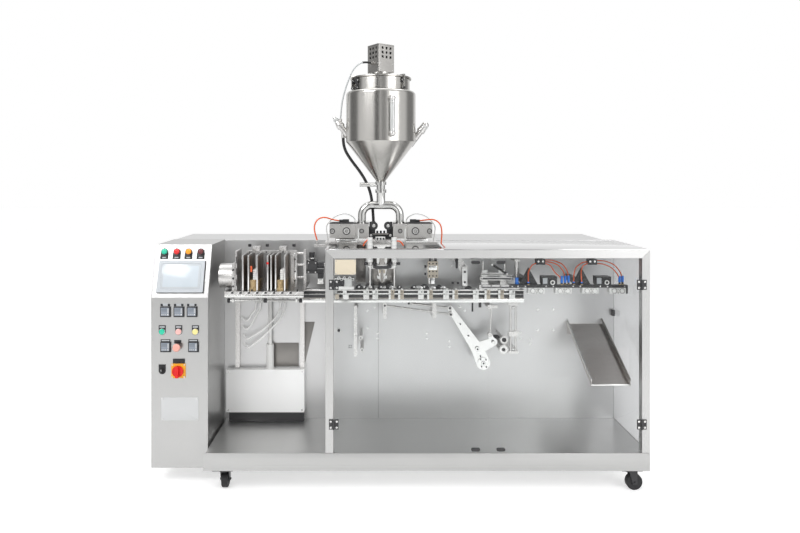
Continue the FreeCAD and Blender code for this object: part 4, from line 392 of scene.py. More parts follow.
MOTOR_LEAD = [(-0.134231, -0.170145, 2.206), (-0.1589, -0.188, 2.206), (-0.192, -0.203, 2.198),
              (-0.226, -0.208, 2.166), (-0.25, -0.205, 2.112), (-0.273, -0.187, 2.05),
              (-0.292, -0.151, 1.98), (-0.29778, -0.129, 1.90686)]
SENSOR_CONDUIT = [(-0.28334, -0.129, 1.8017), (-0.283, -0.128, 1.752), (-0.243, -0.12, 1.684),
                  (-0.18, -0.106, 1.604), (-0.138, -0.09, 1.522), (-0.122, -0.082, 1.432),
                  (-0.118, -0.081, 1.345)]
LEFT_HOSE = [(-0.305, -0.129, 1.35), (-0.34, -0.129, 1.354), (-0.383, -0.129, 1.371), (-0.424, -0.129, 1.36),
             (-0.443, -0.129, 1.322), (-0.438, -0.129, 1.281), (-0.426, -0.129, 1.244)]
RIGHT_HOSE = [(0.135, -0.129, 1.35), (0.172, -0.129, 1.355), (0.216, -0.129, 1.358), (0.249, -0.129, 1.333),
              (0.257, -0.129, 1.29), (0.254, -0.129, 1.244), (0.25, -0.129, 1.2)]
free_cord("motor_lead", MOTOR_LEAD, 0.008, "grey_tube", "black_cable")
free_cord("sensor_conduit", SENSOR_CONDUIT, 0.016, "rubber", "black_cable")
free_cord("left_hose", LEFT_HOSE, 0.008, "orange_tube", "orange_hose")
free_cord("right_hose", RIGHT_HOSE, 0.008, "orange_tube", "orange_hose")

# Nodes that keep their own shape
for node, surface, edge in (
        ("rear_cabinet", "wall_steel", 1.5), ("control_console", "console_steel", 2.5),
        ("base_pan", "pan_steel", 1.5), ("guard_posts", "post_steel", 1.5),
        ("guard_rails", "frame_steel", 1.2), ("touch_screen", "screen_rim", 1.5),
        ("temperature_controllers", "black_plastic", 0.6), ("main_switch_knob", "red", 1.5),
        ("emergency_button", "pink", 1.0), ("hinge_leaves", "black_metal", 0.5),
        ("left_door_fittings", "black_metal", 0.5), ("right_door_fittings", "black_metal", 0.5),
        ("magazine_table", "machined", 0.8), ("bag_magazine", "machined", 0.6),
        ("brass_stacks", "brass", 0.5), ("magazine_drive", "machined", 1.5),
        ("pickup_head", "black_metal", 1.0), ("cover_box", "white_paint", 1.2),
        ("vacuum_manifold", "white_plastic", 0.6), ("gripper_track", "worn_steel", 0.6),
        ("gripper_pads", "bright_steel", 0.5), ("dosing_deck", "machined", 1.0),
        ("dosing_pumps", "block_steel", 1.5), ("air_valves", "black_metal", 1.0),
        ("product_pipe", "chrome", 0.8), ("hopper_lid", "hopper_steel", 0.8),
        ("stirrer_drive", "motor_steel", 0.8), ("fill_nozzles", "machined", 0.8),
        ("bag_opener", "machined", 0.8), ("seal_station", "machined", 0.8),
        ("cooling_bar", "black_metal", 0.6), ("cooling_heads", "white_plastic", 1.0),
        ("air_blocks", "black_metal", 0.8), ("hose_bracket", "machined", 0.5),
        ("bell_crank", "bright_steel", 0.8), ("drive_links", "machined", 0.8),
        ("chute", "chute_steel", 0.5), ("caster_plates", "black_metal", 0.8),
        ("pilot_lamps", "black_plastic", 0.6)):
    dress(node, surface, edge)
# The vacuum tubes below take the white tube material, whose glow is painted light.
for node, surface in (("hopper_shell", "hopper_steel"), ("hopper_fittings", "machined"),
                      ("left_door", "acrylic"), ("right_door", "acrylic"),
                      ("pump_tubes", "milk_tube"), ("cooling_tubes", "orange_tube"),
                      ("vacuum_tubes", "white_tube_painted_glow")):
    finish_mesh(NODES[node].data, surface, 28)
for corner in ("front_left", "front_right", "rear_left", "rear_right"):
    dress("fork_" + corner, "black_metal", 0.6)
    dress("wheel_" + corner, "rubber", 0.8)

# Details from the photograph, in millimetres
OUT, UP, DOWN = (0, -1, 0), (0, 0, 1), (0, 0, -1)
SLOPE_LEAN = math.atan2(CONSOLE_TOP - CONSOLE_FOLD, SLOPE_DEPTH)
SLOPE = Matrix.Translation((LEFT, CONSOLE_FRONT, CONSOLE_FOLD)) @ Matrix.Rotation(SLOPE_LEAN, 4, "X")
PANEL = Matrix.Translation((LEFT, CONSOLE_FRONT, 0))
USUAL_SLOT = {"black_metal": "black_metal", "clear_cap": "clear", "side_sheet": "clear"}
USUAL_SLOT.update(dict.fromkeys(("white_plastic", "label_grey", "cream_label", "milk_tube"), "white_plastic"))
USUAL_SLOT.update(dict.fromkeys(("black_plastic", "screen_glass", "screen_field", "controller_face",
                                 "display", "painted_hole_shade", "grey_plastic"), "black_plastic"))


def lay(name, surface, boxes=(), rods=(), bolts=(), domes=(), plates=(), rings=(), at=None, edge=0.6,
        body="machine", slot=None, replaces=()):
    """One named piece from lists of boxes, rods, screws, domes, flat plates and rings."""
    form = Form(at)
    for ends in boxes:
        form.box(*ends, edge)
    for start, end, radius in rods:
        form.rod(start, end, radius, edge)
    for centre, normal, size in bolts:
        form.bolt(centre, normal, size)
    for centre, normal, radius, height in domes:
        form.dome(centre, normal, radius, height)
    for points, y0, y1 in plates:
        form.plate(points, y0, y1, edge)
    for start, end, radius, bore in rings:
        form.pipe(start, end, radius, bore)
    bmesh.ops.remove_doubles(form.mesh, verts=form.mesh.verts, dist=0.0005)
    bmesh.ops.recalc_face_normals(form.mesh, faces=form.mesh.faces)
    bmesh.ops.scale(form.mesh, vec=(MM, MM, MM), verts=form.mesh.verts)
    mesh = bpy.data.meshes.new(name)
    form.mesh.to_mesh(mesh)
    form.mesh.free()
    finish_mesh(mesh, surface)
    add_piece(name, mesh, body, slot or USUAL_SLOT.get(surface, "steel"), *replaces)


def across(x, z, y0, y1, *radii):
    """The ends and radii of a rod or ring along Y."""
    return ((x, y0, z), (x, y1, z), *radii)


def upright(x, y, z0, z1, *radii):
    """The ends and radii of a rod or ring along Z."""
    return ((x, y, z0), (x, y, z1), *radii)


def tube_run(name, points, radius, surface, slot):
    """A short held tube that bends smoothly through its points, in millimetres."""
    curve = smooth_curve(name, [[c * MM for c in point] for point in points], radius * MM, 10, 4)
    line = add_object(name + "_path", curve)
    mesh = bpy.data.meshes.new_from_object(line.evaluated_get(bpy.context.evaluated_depsgraph_get()))
    bpy.data.objects.remove(line)
    mesh.name = name
    finish_mesh(mesh, surface)
    add_piece(name, mesh, "machine", slot)


# Console: screen, lamps, controllers, buttons, plates
lay("screen_body", "black_plastic", boxes=[(25.6, 268.4, 23.6, 192.4, -0.5, 10.2)], at=SLOPE, edge=3)
lay("screen_glass", "screen_glass", boxes=[(46, 248, 44, 172, 11.4, 13.2)], at=SLOPE)
lay("screen_field", "screen_field", boxes=[(56, 238, 54, 162, 13.0, 13.5)], at=SLOPE, edge=0.2)
LAMP_PLACES = tuple(zip((47, 112, 174, 238), ("lamp_green", "lamp_red", "lamp_yellow", "lamp_dark")))
for number, (u, tone) in enumerate(LAMP_PLACES, 1):
    lay(f"lamp_lens_{number}", tone, slot="lamps", domes=[((u, 240, 8.6), UP, 14.6, 11.0)],
        rods=[upright(u, 240, 6.0, 9.0, 15.2)], at=SLOPE, edge=0.3)
lay("lamp_tags", "black_plastic", boxes=[(u - 21, u + 21, 201, 236, -0.3, 1.4) for u, tone in LAMP_PLACES],
    rings=[upright(u, 240, 0, 7.4, 17.8, 12) for u, tone in LAMP_PLACES], at=SLOPE, edge=0.4)
lay("lamp_tag_strips", "label_grey", boxes=[(u - 10, u + 10, 206, 212, 1.0, 1.8)
    for u, tone in LAMP_PLACES], at=SLOPE, edge=0.2)
UPPER_ROW = [(u, 895) for u in (74, 143, 211)]
LOWER_ROW = [(u, 714) for u in (75, 218)]
CONTROLLERS = UPPER_ROW + LOWER_ROW
# Black plates behind the controller faces stand for the controllers' black housings and, where they reach
# further right and below, for painted shadow.
lay("controller_bases_and_shadow", "black_plastic", boxes=[(u - 26, u + 29, -5.5, 0.2, z - 28, z + 26)
    for u, z in CONTROLLERS], at=PANEL, edge=1.5)
lay("controller_faces", "controller_face", boxes=[(u - 21, u + 21, -7.8, -6.6, z - 21, z + 21)
    for u, z in CONTROLLERS], at=PANEL, edge=0.4)
lay("controller_windows", "display", boxes=[(u - 18, u + 10, -8.2, -7.4, z + 1, z + 17)
    for u, z in CONTROLLERS], at=PANEL, edge=0.2)
lay("controller_strips", "label_grey", boxes=[(u + 12, u + 20, -8.2, -7.4, z - 8, z + 17)
    for u, z in CONTROLLERS] + [(u - 18 + 9 * i, u - 12 + 9 * i, -8.4, -7.4, z - 17, z - 12)
    for u, z in CONTROLLERS for i in range(3)], at=PANEL, edge=0.2)
lay("controller_keys", "white_plastic", boxes=[(u + 12, u + 18, -8.6, -7.4, z - 18, z - 12)
    for u, z in CONTROLLERS], at=PANEL, edge=0.4)
lay("controller_tags", "label_grey", boxes=[(u - 25, u + 25, -1.2, 0.2, z + 27, z + 41)
    for u, z in UPPER_ROW] + [(u - 20, u + 20, -2.2, -1.0, z + 28.5, z + 35) for u, z in LOWER_ROW],
    at=PANEL, edge=0.3)
lay("controller_tag_ends", "black_plastic", boxes=[(u + a, u + b, -2.0, -0.6, z + 28, z + 40)
    for u, z in UPPER_ROW for a, b in ((-24.5, -13), (13, 24.5))]
    + [(u - 25, u + 25, -1.4, 0.2, z + 25.5, z + 38) for u, z in LOWER_ROW], at=PANEL, edge=0.3)


def legend_outline(u, z):
    """A plate with a flat top that is round below."""
    turn = [math.radians(180 + 180 * i / 16) for i in range(17)]
    return [(u + 18, z + 32), (u - 18, z + 32)] + [(u + 18 * math.cos(a), z + 18 * math.sin(a)) for a in turn]


lay("control_collars", "black_plastic", slot="bezels", replaces=("control_bezels",), at=PANEL, edge=1,
    rods=[across(u, 792, 0, -4, 15) for u in (58, 143, 229)]
    + [across(58, 590, 0, -12, 12), across(138, 714, 0, -13, 15), across(142, 590, 0, -10, 25)],
    boxes=[(53, 63, -20, -11, 579, 601)])
PUSH_BUTTONS = ((58, 792, "lamp_green"), (143, 792, "button_pink"), (229, 792, "button_cream"))
lay("legend_plates", "black_plastic", plates=[(legend_outline(u, z), -2.6, 0.2)
    for u, z in ((58, 792), (143, 792), (229, 792), (58, 590))], boxes=[(120, 156, -2.6, 0.2, 731, 748)],
    at=PANEL, edge=0.4)
lay("legend_patches", "label_grey", boxes=[(u - 13, u + 13, -3.2, -2.2, z + 20, z + 28)
    for u, z in ((58, 792), (143, 792), (229, 792))], at=PANEL, edge=0.2)
lay("button_rings", "screw_steel", slot="bezels", rings=[across(u, 792, -2.4, -4.6, 16.2, 11.7)
    for u, z, tone in PUSH_BUTTONS], at=PANEL)
for u, z, tone in PUSH_BUTTONS:
    lay(f"button_cap_{u}", tone, slot="pink_plastic", rods=[across(u, z, -3, -11.8, 14.4)],
        domes=[((u, -11.6, z), OUT, 13, 1.2)], at=PANEL, edge=1.6)
lay("selector_mark", "white_plastic", boxes=[(57, 59, -20.7, -19.6, 592, 601)], at=PANEL, edge=0.2)
lay("switch_plate", "yellow", slot="bezels", plates=[(rounded_outline(105, 179, 553, 627, 5), -3.7, 0.2)],
    at=PANEL, edge=0.5)
lay("switch_tag", "black_plastic", boxes=[(113, 175, -2.2, 0.2, 628, 652)], at=PANEL, edge=0.4)
lay("switch_plate_screws", "screw_steel", bolts=[((u, -3.7, z), OUT, 3.0) for u in (111, 173)
    for z in (559, 621)], at=PANEL)
lay("name_plate", "name_plate", plates=[(rounded_outline(53, 244, 334, 453, 4), -1.4, 0.2)], at=PANEL,
    edge=0.3)
lay("name_plate_screws", "screw_steel", bolts=[((u, -1.4, z), OUT, 2.4) for u in (60, 237)
    for z in (341, 446)], at=PANEL)

# Back wall: screws, holes, seam, latch, dark backing plates, a panel with a painted dark reflection
WALL_SCREWS = ((-152, 825), (-110, 845), (-151, 724), (-94, 695), (-94, 665), (188, 695), (188, 665),
               (317, 649), (317, 618), (377, 845), (405, 825), (724, 697), (724, 663), (823, 831), (912, 831),
               (823, 712), (912, 712), (780, 661), (780, 636))
lay("wall_screws", "screw_steel", bolts=[((x, WALL, z), OUT, 5.4) for x, z in WALL_SCREWS])
lay("wall_holes", "black_plastic", rods=[across(x, z, WALL + 0.3, WALL - 1.2, r)
    for x, z, r in ((-316, 711, 9), (-257, 624, 3.5), (-245, 624, 3.5), (-257, 612, 3.5), (-245, 612, 3.5))]
    + [across(x, z, WALL + 0.2, WALL - 0.9, 4.2) for x, z in WALL_SCREWS],
    boxes=[(444, 454, WALL - 1, WALL + 0.2, 818, 869), (-90.7, -89.3, WALL - 0.8, WALL + 0.2, 209, 900)],
    edge=0.3)
lay("wall_ring", "screw_steel", rings=[across(-316, 711, WALL + 0.2, WALL - 2.2, 12, 8.6)])
lay("side_latch", "black_metal", boxes=[(1241, 1255.4, 8, WALL + 0.2, 798, 832)], edge=2)
lay("wall_plates", "dark_steel", boxes=[(-219, -162, WALL - 4, WALL + 0.3, 985, 1222),
    (-112, 8, WALL - 4, WALL + 0.3, 985, 1222)], edge=1)
# Panel and diagonal plate on the left bay's wall: a painted dark reflection laid over the wall steel.
lay("bay_painted_reflection_panel", "painted_reflection_wall_steel", boxes=[(-700, -545, WALL - 3, WALL + 0.3, 505, 640)],
    plates=[([(-518, 760), (-453, 760), (-514, 505)], WALL - 3, WALL + 0.3)], edge=1)
# A thin sheet over the pan's front face in the darker pan steel: painted shade on that face.
lay("pan_front_painted_shade", "pan_front_shade_steel", boxes=[(-970.4, RIGHT - 0.4, FRONT - 0.8, FRONT + 1.5, UNDERSIDE,
    PAN_TOP - 0.4)], edge=0.8)
lay("wall_covers", "white_paint", boxes=[(434, 491, 31, WALL + 0.3, 1109, 1123),
    (554, 636, 31, WALL + 0.3, 1109, 1125)], edge=1.5)

# Guard: polished top, side panel, hinge screws, bare plate on the left door
lay("guard_top_panel", "top_steel", slot="clear", edge=1.0, replaces=("guard_panels",),
    boxes=[(-359, -341, -429, 36, 1222, 1227), (-341.5, 232.5, -429, -388, 1222, 1227),
    (232, 1265, -429, 36, 1222, 1227)])
lay("guard_side_panel", "side_sheet", boxes=[(1255, 1260, -389, 36, 208, 1182)], edge=1.0,
    replaces=("guard_panels",))
HINGE_LEVELS = (1050, 352)
for side, pin, inward in (("left", -316.5, 1), ("right", 1222.5, -1)):
    for part, body, reach in (("post", "machine", -15), ("door", side + "_door", 15)):
        lay(f"{side}_hinge_{part}_screws", "screw_steel", body=body,
            bolts=[((pin + inward * reach, -433, level + d), OUT, 4.4) for level in HINGE_LEVELS
            for d in (-15, 15)])
    lay(f"{side}_hinge_knuckles", "black_metal", rings=[upright(pin, -435, level + d - 7, level + d + 7,
        5.6, 4.4) for level in HINGE_LEVELS for d in (-17, 0, 17)])
lay("door_plate", "cream_label", body="left_door",
    plates=[(rounded_outline(-311, -206, 1101, 1175, 3), -430.4, -428.8)], edge=0.3)
lay("door_plate_screws", "screw_steel", body="left_door",
    bolts=[((x, -430.4, z), OUT, 2.2) for x in (-305, -212) for z in (1107, 1169)])

# Sensor block at the left end of the gripper track
lay("track_sensor_base", "white_plastic", boxes=[(-318, -225, -151, -109, 976.6, 993)], edge=1.5)
lay("track_sensor_body", "black_plastic", boxes=[(-318, -278, -147, -112, 993, 1022)], edge=1.5)
lay("track_sensor_ribs", "milk_tube", boxes=[(-274, -237, -143, -116, 993, 1032)]
    + [(-276, -235, -146, -113, z, z + 4) for z in range(996, 1031, 7)])
lay("track_sensor_links", "white_plastic", rings=[((-322 + 15 * i, -134 - 5 * (i % 2), 1030 + 7 * (i % 2)),
    (-322 + 15 * i, -124 - 5 * (i % 2), 1030 + 7 * (i % 2)), 8.5, 4.5) for i in range(7)])
lay("track_sensor_pin", "black_metal", rods=[((-329, -129, 1026), (-226, -129, 1026), 4),
    ((-329, -133, 1040), (-226, -133, 1040), 3)])

# Dosing pumps, valves and the row at the deck's front edge
PUMP_FRONT, VALVE_FRONT = -184, -181
PORTS = ((-263, PUMP_FRONT, 20), (-339, PUMP_FRONT, 14), (-181, VALVE_FRONT, 12),
         (107.8, PUMP_FRONT, 20), (183.8, PUMP_FRONT, 14), (25.8, VALVE_FRONT, 12))
# Dark rings in the ports' recesses and about their small holes: painted shade.
lay("port_shade_rings", "black_metal", rings=[across(x, 1298, y - 4, y - 5.8, r + 0.5, r - 4.4)
    for x, y, r in PORTS] + [across(x, 1298, y + 1, y - 3.3, r / 3 + 1.5, r / 3 - 0.6) for x, y, r in PORTS])
lay("port_seats", "bright_steel", rings=[across(x, 1298, y - 2, y - 3.8, r - 4.8, r / 3 + 1.2)
    for x, y, r in PORTS])
# Dark rings in the lower ports' recesses: painted shade.
lay("lower_port_shade_rings", "black_metal", rings=[across(x, 1198, -188, -190.4, 20.5, 15.2)
    for x in (-263, 107.8)])
lay("valve_strips", "milk_tube", slot="grey_hose",
    rods=[upright(x, VALVE_FRONT - 3.6, 1240, 1311, 4) for x in (-199, 52)])
lay("valve_caps", "white_plastic", rods=[upright(x, -164, 1336, 1355, 6.5) for x in (-211, -152, -3, 56)],
    edge=1.5)
lay("valve_cap_collars", "black_metal", rings=[upright(x, -164, 1336, 1343, 9, 6.6)
    for x in (-211, -152, -3, 56)])
lay("pump_gaskets", "black_metal", boxes=[(-355.5, -218.5, -184.8, -73.6, 1336.5, 1340.6),
    (63.4, 200.2, -184.8, -73.6, 1336.5, 1340.6)])
lay("pump_screws", "screw_steel", bolts=[((x, PUMP_FRONT, z), OUT, 3.0)
    for x in (-349, -300, -225, 70, 145, 193) for z in (1266, 1330)]
    + [((x, VALVE_FRONT, z), OUT, 3.0) for x in (-213, -149, -6, 58) for z in (1263, 1330)])
lay("deck_rails", "bright_steel", boxes=[(-318, -206, -206, -190, 1239.6, 1256),
    (54, 172, -206, -190, 1239.6, 1256)], edge=2)
lay("deck_regulators", "white_plastic", rods=[upright(x, -219, 1206, 1241, 14.5) for x in (-136, -8)]
    + [upright(x, -219, 1244, 1267, 14.5) for x in (-136, -8)]
    + [upright(x, -219, 1240, 1245, 12) for x in (-136, -8)], edge=1.5)
lay("deck_regulator_bands", "label_grey", rings=[upright(x, -219, z, z + 2, 14.9, 12) for x in (-136, -8)
    for z in (1222, 1252)])
lay("deck_front_block", "machined", boxes=[(-117, -25, -214, -200, 1217, 1252)], edge=1.2)
lay("deck_front_bits", "black_metal", boxes=[(-116, -96, -212, -202, 1204, 1216.6),
    (-64, -26, -212, -202, 1204, 1216.6)], edge=1.2)
lay("deck_front_wedge", "white_plastic", plates=[([(-100, 1217), (-52, 1217), (-70, 1197), (-86, 1197)],
    -213, -203)], edge=0.8)
tube_run("left_sample_tube", [(-148, -219, 1254), (-158, -218, 1247), (-168, -214, 1234),
    (-172, -206, 1221)], 4, "orange_tube", "orange_hose")
tube_run("right_sample_tube", [(4, -219, 1247), (18, -218, 1249), (33, -214, 1238), (42, -206, 1222)], 4,
    "orange_tube", "orange_hose")
lay("air_valve_knobs", "bright_steel", rods=[across(x, 1325, -171, -174.5, 9) for x in (-116, -39.2)]
    + [across(x, 1272, -150, -155, 8) for x in (-131, -26)], edge=1)
lay("air_valve_rings", "black_plastic", rings=[across(x, 1272, -150, -157, 12, 8.2) for x in (-131, -26)]
    + [across(x, 1296, -151, -156, 11, 5) for x in (-124, -33)],
    rods=[upright(x, -143, 1282.5, 1297, 6) for x in (-97, -78, -59)]
    + [upright(x, -164, 1318, 1347, 7) for x in (-133, -22)], edge=1)
lay("air_bridge_front", "white_plastic", boxes=[(-107, -54, -149, -107, 1241, 1263)], edge=1.5)
lay("air_bridge_screws", "black_metal", bolts=[((x, -149, 1253), OUT, 4.5) for x in (-96, -79, -63)])
lay("crossbar_plate", "worn_steel", boxes=[(-135, -27, -152, -134, 1274, 1282.4)], edge=1)

# Filling nozzles and their yoke
NOZZLES = (-136.5, -3.5)
lay("nozzle_sleeves", "white_plastic", rods=[upright(x, TRACK_Y, 1122.6, 1206, 16) for x in NOZZLES]
    + [upright(x, TRACK_Y, 1096, 1109.6, 12.5) for x in NOZZLES], edge=2)
lay("nozzle_bands", "label_grey", rings=[upright(x, TRACK_Y, z, z + 3, 16.6, 12) for x in NOZZLES
    for z in (1140, 1160)])
lay("nozzle_knobs", "black_plastic", rods=[upright(x + d, TRACK_Y - 8, 1109, 1124, 8) for x in NOZZLES
    for d in (-24, 24)] + [((x - 29, TRACK_Y, 1116), (x + 29, TRACK_Y, 1116), 7) for x in NOZZLES], edge=1.5)
lay("yoke_front", "black_metal", plates=[([(-121, 1110), (-103, 1110), (-92, 1103), (-50, 1103),
    (-37, 1110), (-19, 1110), (-19, 1092), (-44, 1086), (-98, 1086), (-121, 1092)], -138, -134.4)], edge=1)
lay("funnel_front", "white_plastic", plates=[([(-100, 1206), (-85, 1206), (-85, 1128), (-92, 1110),
    (-100, 1122)], -136, -131), ([(-58, 1206), (-43, 1206), (-43, 1122), (-51, 1110), (-58, 1128)], -136,
    -131), ([(-98, 1052), (-84, 1044), (-84, 1032), (-98, 1036)], -140, -133.6),
    ([(-59, 1044), (-44, 1052), (-44, 1036), (-59, 1032)], -140, -133.6)], edge=0.8)
lay("funnel_core", "worn_steel", boxes=[(-85, -58, -134, -125, 1104, 1210)],
    rods=[upright(-71, -136, 1012, 1080, 8)], edge=1)
lay("funnel_block", "beige", boxes=[(-89, -53, -141, -134.5, 1064, 1082)], edge=1.5)
lay("lift_back_plate", "dark_steel", boxes=[(-125, -16, -96, -88, 990, 1228)], edge=1)

# Gripper track: dark channel, pale rail and lip, pads in two tones, cams on the rail
lay("track_channel", "black_metal", slot="steel", boxes=[(-503, 699, -146, -126, 933.4, 968.6),
    (-503, 699, -146, -126, 915.4, 924.6)], edge=0.5)
lay("track_guide", "machined", boxes=[(-503, 699, -147.4, -145.6, 950, 952.4)], edge=0.4)
lay("track_rail", "machined", boxes=[(-504, 700, -150.6, -108, 969.4, 977.8)], edge=1)
lay("track_lip", "bright_steel", boxes=[(-504, 700, -151, -148.4, 906.6, 926)], edge=1)
PAD_TONES = {"white_plastic": (-162, -113, 134, 270, 431, 628, -273),
             "beige": (-325, -25, 26, 183, 320, 494, 568)}
for tone, places in PAD_TONES.items():
    lay(f"pad_faces_{tone}", tone, slot="steel", boxes=[(x + 0.6, x + 20.4, -166.4, -149.4, 956.6, 977.4)
        for x in places if x > -200] + [(x + 0.6, x + 20.4, -166.4, -149.4, 927, 953) for x in places],
        edge=1.5)
lay("pad_buttons", "white_plastic", domes=[((x + 10, -157, 977), UP, 7, 9)
    for x in (-162, -113, -25, 26, 134, 183, 270, 320, 431, 494, 568, 628)])
lay("pad_screws", "black_metal", bolts=[((x + 10, -166.4, 967), OUT, 2.6)
    for x in (-162, -113, -25, 26, 134, 183, 270, 320, 431, 494, 568, 628)])


def cam_outline(x, wide, tall, base=977.4):
    """A low rounded hump that stands on the rail."""
    return [(x + wide / 2 * math.cos(math.pi * i / 12), base + tall * math.sin(math.pi * i / 12))
            for i in range(13)]


lay("track_cams", "black_metal", plates=[(cam_outline(x, wide, tall), -128, -118)
    for x, wide, tall in ((-196, 44, 24), (-140, 54, 32), (-76, 40, 26), (-26, 52, 30), (24, 30, 18),
    (104, 40, 18), (160, 52, 26), (242, 44, 22), (402, 40, 16))], edge=1)
lay("track_cam_faces", "bright_steel", plates=[(cam_outline(x, wide, tall, 980), -131, -127.6)
    for x, wide, tall in ((-140, 30, 16), (-60, 20, 12), (-20, 24, 16), (130, 44, 14), (206, 34, 12),
    (262, 30, 12))], rods=[across(x, 988, -133, -127, 5) for x in (-196, -168, -76, -4, 24, 104, 160)],
    edge=0.8)

# Bag opener
lay("opener_clamp", "beige", boxes=[(176, 234, -153, -146, 1040, 1130)], edge=2)
lay("opener_screws", "black_metal", bolts=[((x, -153, z), OUT, 3.4) for x in (186, 205, 224)
    for z in (1052, 1076, 1118)])
lay("opener_face", "bright_steel", boxes=[(182, 228, -155, -152, 1084, 1108),
    (196, 214, -151, -147, 1008, 1041)], edge=1)
lay("opener_knobs", "black_plastic", rods=[((170, -138, z), (160, -138, z), 8) for z in (1060, 1100)]
    + [upright(x, -140, 1128, 1146, 6) for x in (190, 222)], edge=1.5)
lay("bracket_slot", "black_metal", plates=[(rounded_outline(328, 342, 1092, 1148, 7), -154.2, -152.4)],
    edge=0.4)
lay("bracket_block", "white_plastic", boxes=[(364, 392, -156, -150, 1000, 1092)], edge=2.5)
lay("bracket_knobs", "black_plastic", rods=[across(378, z, -155.5, -160, 6) for z in (1018, 1074)]
    + [across(x, 1014, -152.5, -158, 7) for x in (312, 340)], edge=1)
lay("bracket_screws", "screw_steel", bolts=[((x, -153, z), OUT, 3) for x in (308, 384)
    for z in (1106, 1176)])

# Sealing station: heater cartridges, slot, lever, rods
lay("seal_rods", "chrome", rods=[upright(x, -146, 1048, 1132, 5) for x in (478, 596)]
    + [((462, -160, 1058), (640, -160, 1058), 4)], edge=1)
lay("seal_slot", "black_metal", boxes=[(474, 628, -158.6, -156, 1033, 1041),
    (468, 664, -162.4, -160.4, 988, 994)], edge=0.5)
lay("seal_lever", "black_metal", plates=[([(520, 1112), (530, 1120), (612, 1066), (604, 1056)], -160,
    -152)], edge=1.2)
lay("seal_lever_pins", "bright_steel", rods=[across(526, 1114, -162, -140, 6),
    across(606, 1062, -162, -140, 6)], edge=1)
lay("seal_guards", "white_plastic", boxes=[(470, 500, -160, -152.5, 1070, 1084),
    (560, 596, -160, -152.5, 1070, 1084)], edge=1.5)
lay("seal_screws", "black_metal", bolts=[((x, -161, 998.5), OUT, 3) for x in (470, 520, 570, 620, 665)]
    + [((x, -157, 1037), OUT, 2.6) for x in (468, 634)])
lay("seal_fitting", "blue_fitting", rods=[((650, -158, 1012), (672, -158, 1012), 7),
    upright(661, -158, 1003, 1022, 6)], edge=1)

# Cooling heads: ringed discs, screws, levers, knobs and fittings
HEADS = (704, 848, 991, 1135)
lay("head_discs", "screw_steel", rings=[across(x + d, 985, -239, -241, 15.2, 12.6) for x in HEADS
    for d in (22, 64)])
lay("head_disc_cores", "white_plastic", rods=[across(x + d, 985, -238, -243, 11.4) for x in HEADS
    for d in (22, 64)], edge=1.5)
lay("head_disc_gaps", "black_plastic", rings=[across(x + d, 985, -239, -240.6, 12.7, 11.2) for x in HEADS
    for d in (22, 64)])
lay("head_screws", "black_metal", bolts=[((x + 43, -240, z), OUT, 1.8) for x in HEADS for z in (975, 995)])
lay("bar_screws", "screw_steel", bolts=[((x, -226, 1007.5), OUT, 3.2)
    for x in (620, 650, 690, 800, 838, 944, 982, 1088, 1126, 1218)])
lay("lever_rings", "white_plastic", rings=[across(x, 1030, -239, -242, 12.4, 7.5) for x in (830.8, 1118.2)])
lay("lever_labels", "label_grey", boxes=[(x - 36, x - 12, -227.4, -225.6, 1021, 1052)
    for x in (818.8, 1106.2)], edge=0.6)
lay("gusset_slots", "black_metal", boxes=[(x - 30, x + 30, -217, -213, 1040, 1046) for x in (710, 992)],
    edge=0.5)
lay("fitting_caps", "blue_fitting", rings=[upright(x, y, 1025, 1031, 6.4, 3.5)
    for x, y in ((706, -223), (883.7, -223), (904.7, -214), (925.7, -205), (950.3, -214), (990.3, -223))])
lay("fitting_sleeves", "blue_fitting", rods=[upright(x, y, 1029, 1062, 7)
    for x, y in ((883.7, -223), (904.7, -214), (925.7, -205), (1192, -223), (1212, -211))]
    + [upright(650, -200, 1015, 1050, 9)], edge=1.5)
lay("fitting_bases", "brass", rings=[upright(x, y, 1014.6, 1019, 6.8, 5)
    for x, y in ((706, -223), (883.7, -223), (904.7, -214), (925.7, -205), (950.3, -214), (990.3, -223),
    (1192, -223), (1212, -211))])
lay("air_block_caps", "screw_steel", rods=[across(x + d, 1140, -231, -228, 6) for x in (771, 1046)
    for d in (-12, 12)] + [upright(x, -200, 1152, 1167, 9) for x in (771, 1046)], edge=1)

# Lever work in the bay: slots, rollers, knobs, nuts, pins
lay("bay_slots", "black_metal", boxes=[(484, 500, WALL - 1.4, WALL + 0.2, 842, 900),
    (566, 612, WALL - 1.4, WALL + 0.2, 630, 686), (446, 456, WALL - 1.2, WALL + 0.2, 880, 902)], edge=0.6)
lay("rod_nuts", "screw_steel", rods=[upright(x, y, z, z + 9, 9)
    for x, y, z in ((648, -122, 870), (648, -122, 640))]
    + [across(x, z, -124, -114, 9) for x, z in ((530, 884), (520, 724), (541, 682))], edge=1.5)
lay("bay_rollers", "white_plastic", rods=[across(x, z, -134.5, -129, r)
    for x, z, r in ((-187, 710, 9), (-180, 644, 9), (516, 880, 11))], edge=1.5)
lay("bay_roller_pins", "black_metal", rods=[across(x, z, -137, -133, 4)
    for x, z in ((-187, 710), (-180, 644), (516, 880))], edge=0.8)
lay("hand_knob_cap", "black_plastic", rods=[across(590, 706, -166, -160, 12)], edge=2)
lay("hub_rings", "screw_steel", rings=[across(594, 645, -128, -132, 20, 14)],
    bolts=[((594 + 17 * math.cos(a), -129, 645 + 17 * math.sin(a)), OUT, 2.4)
    for a in (0.5, 2.07, 3.64, 5.21)])
lay("hub_core", "black_metal", rods=[across(594, 645, -128, -133, 9)], edge=1)
lay("crank_pins", "screw_steel", rods=[across(x, z, -119, -112, r)
    for x, z, r in ((305, 864, 8), (453, 644, 13), (486, 566, 12))], edge=1.2)
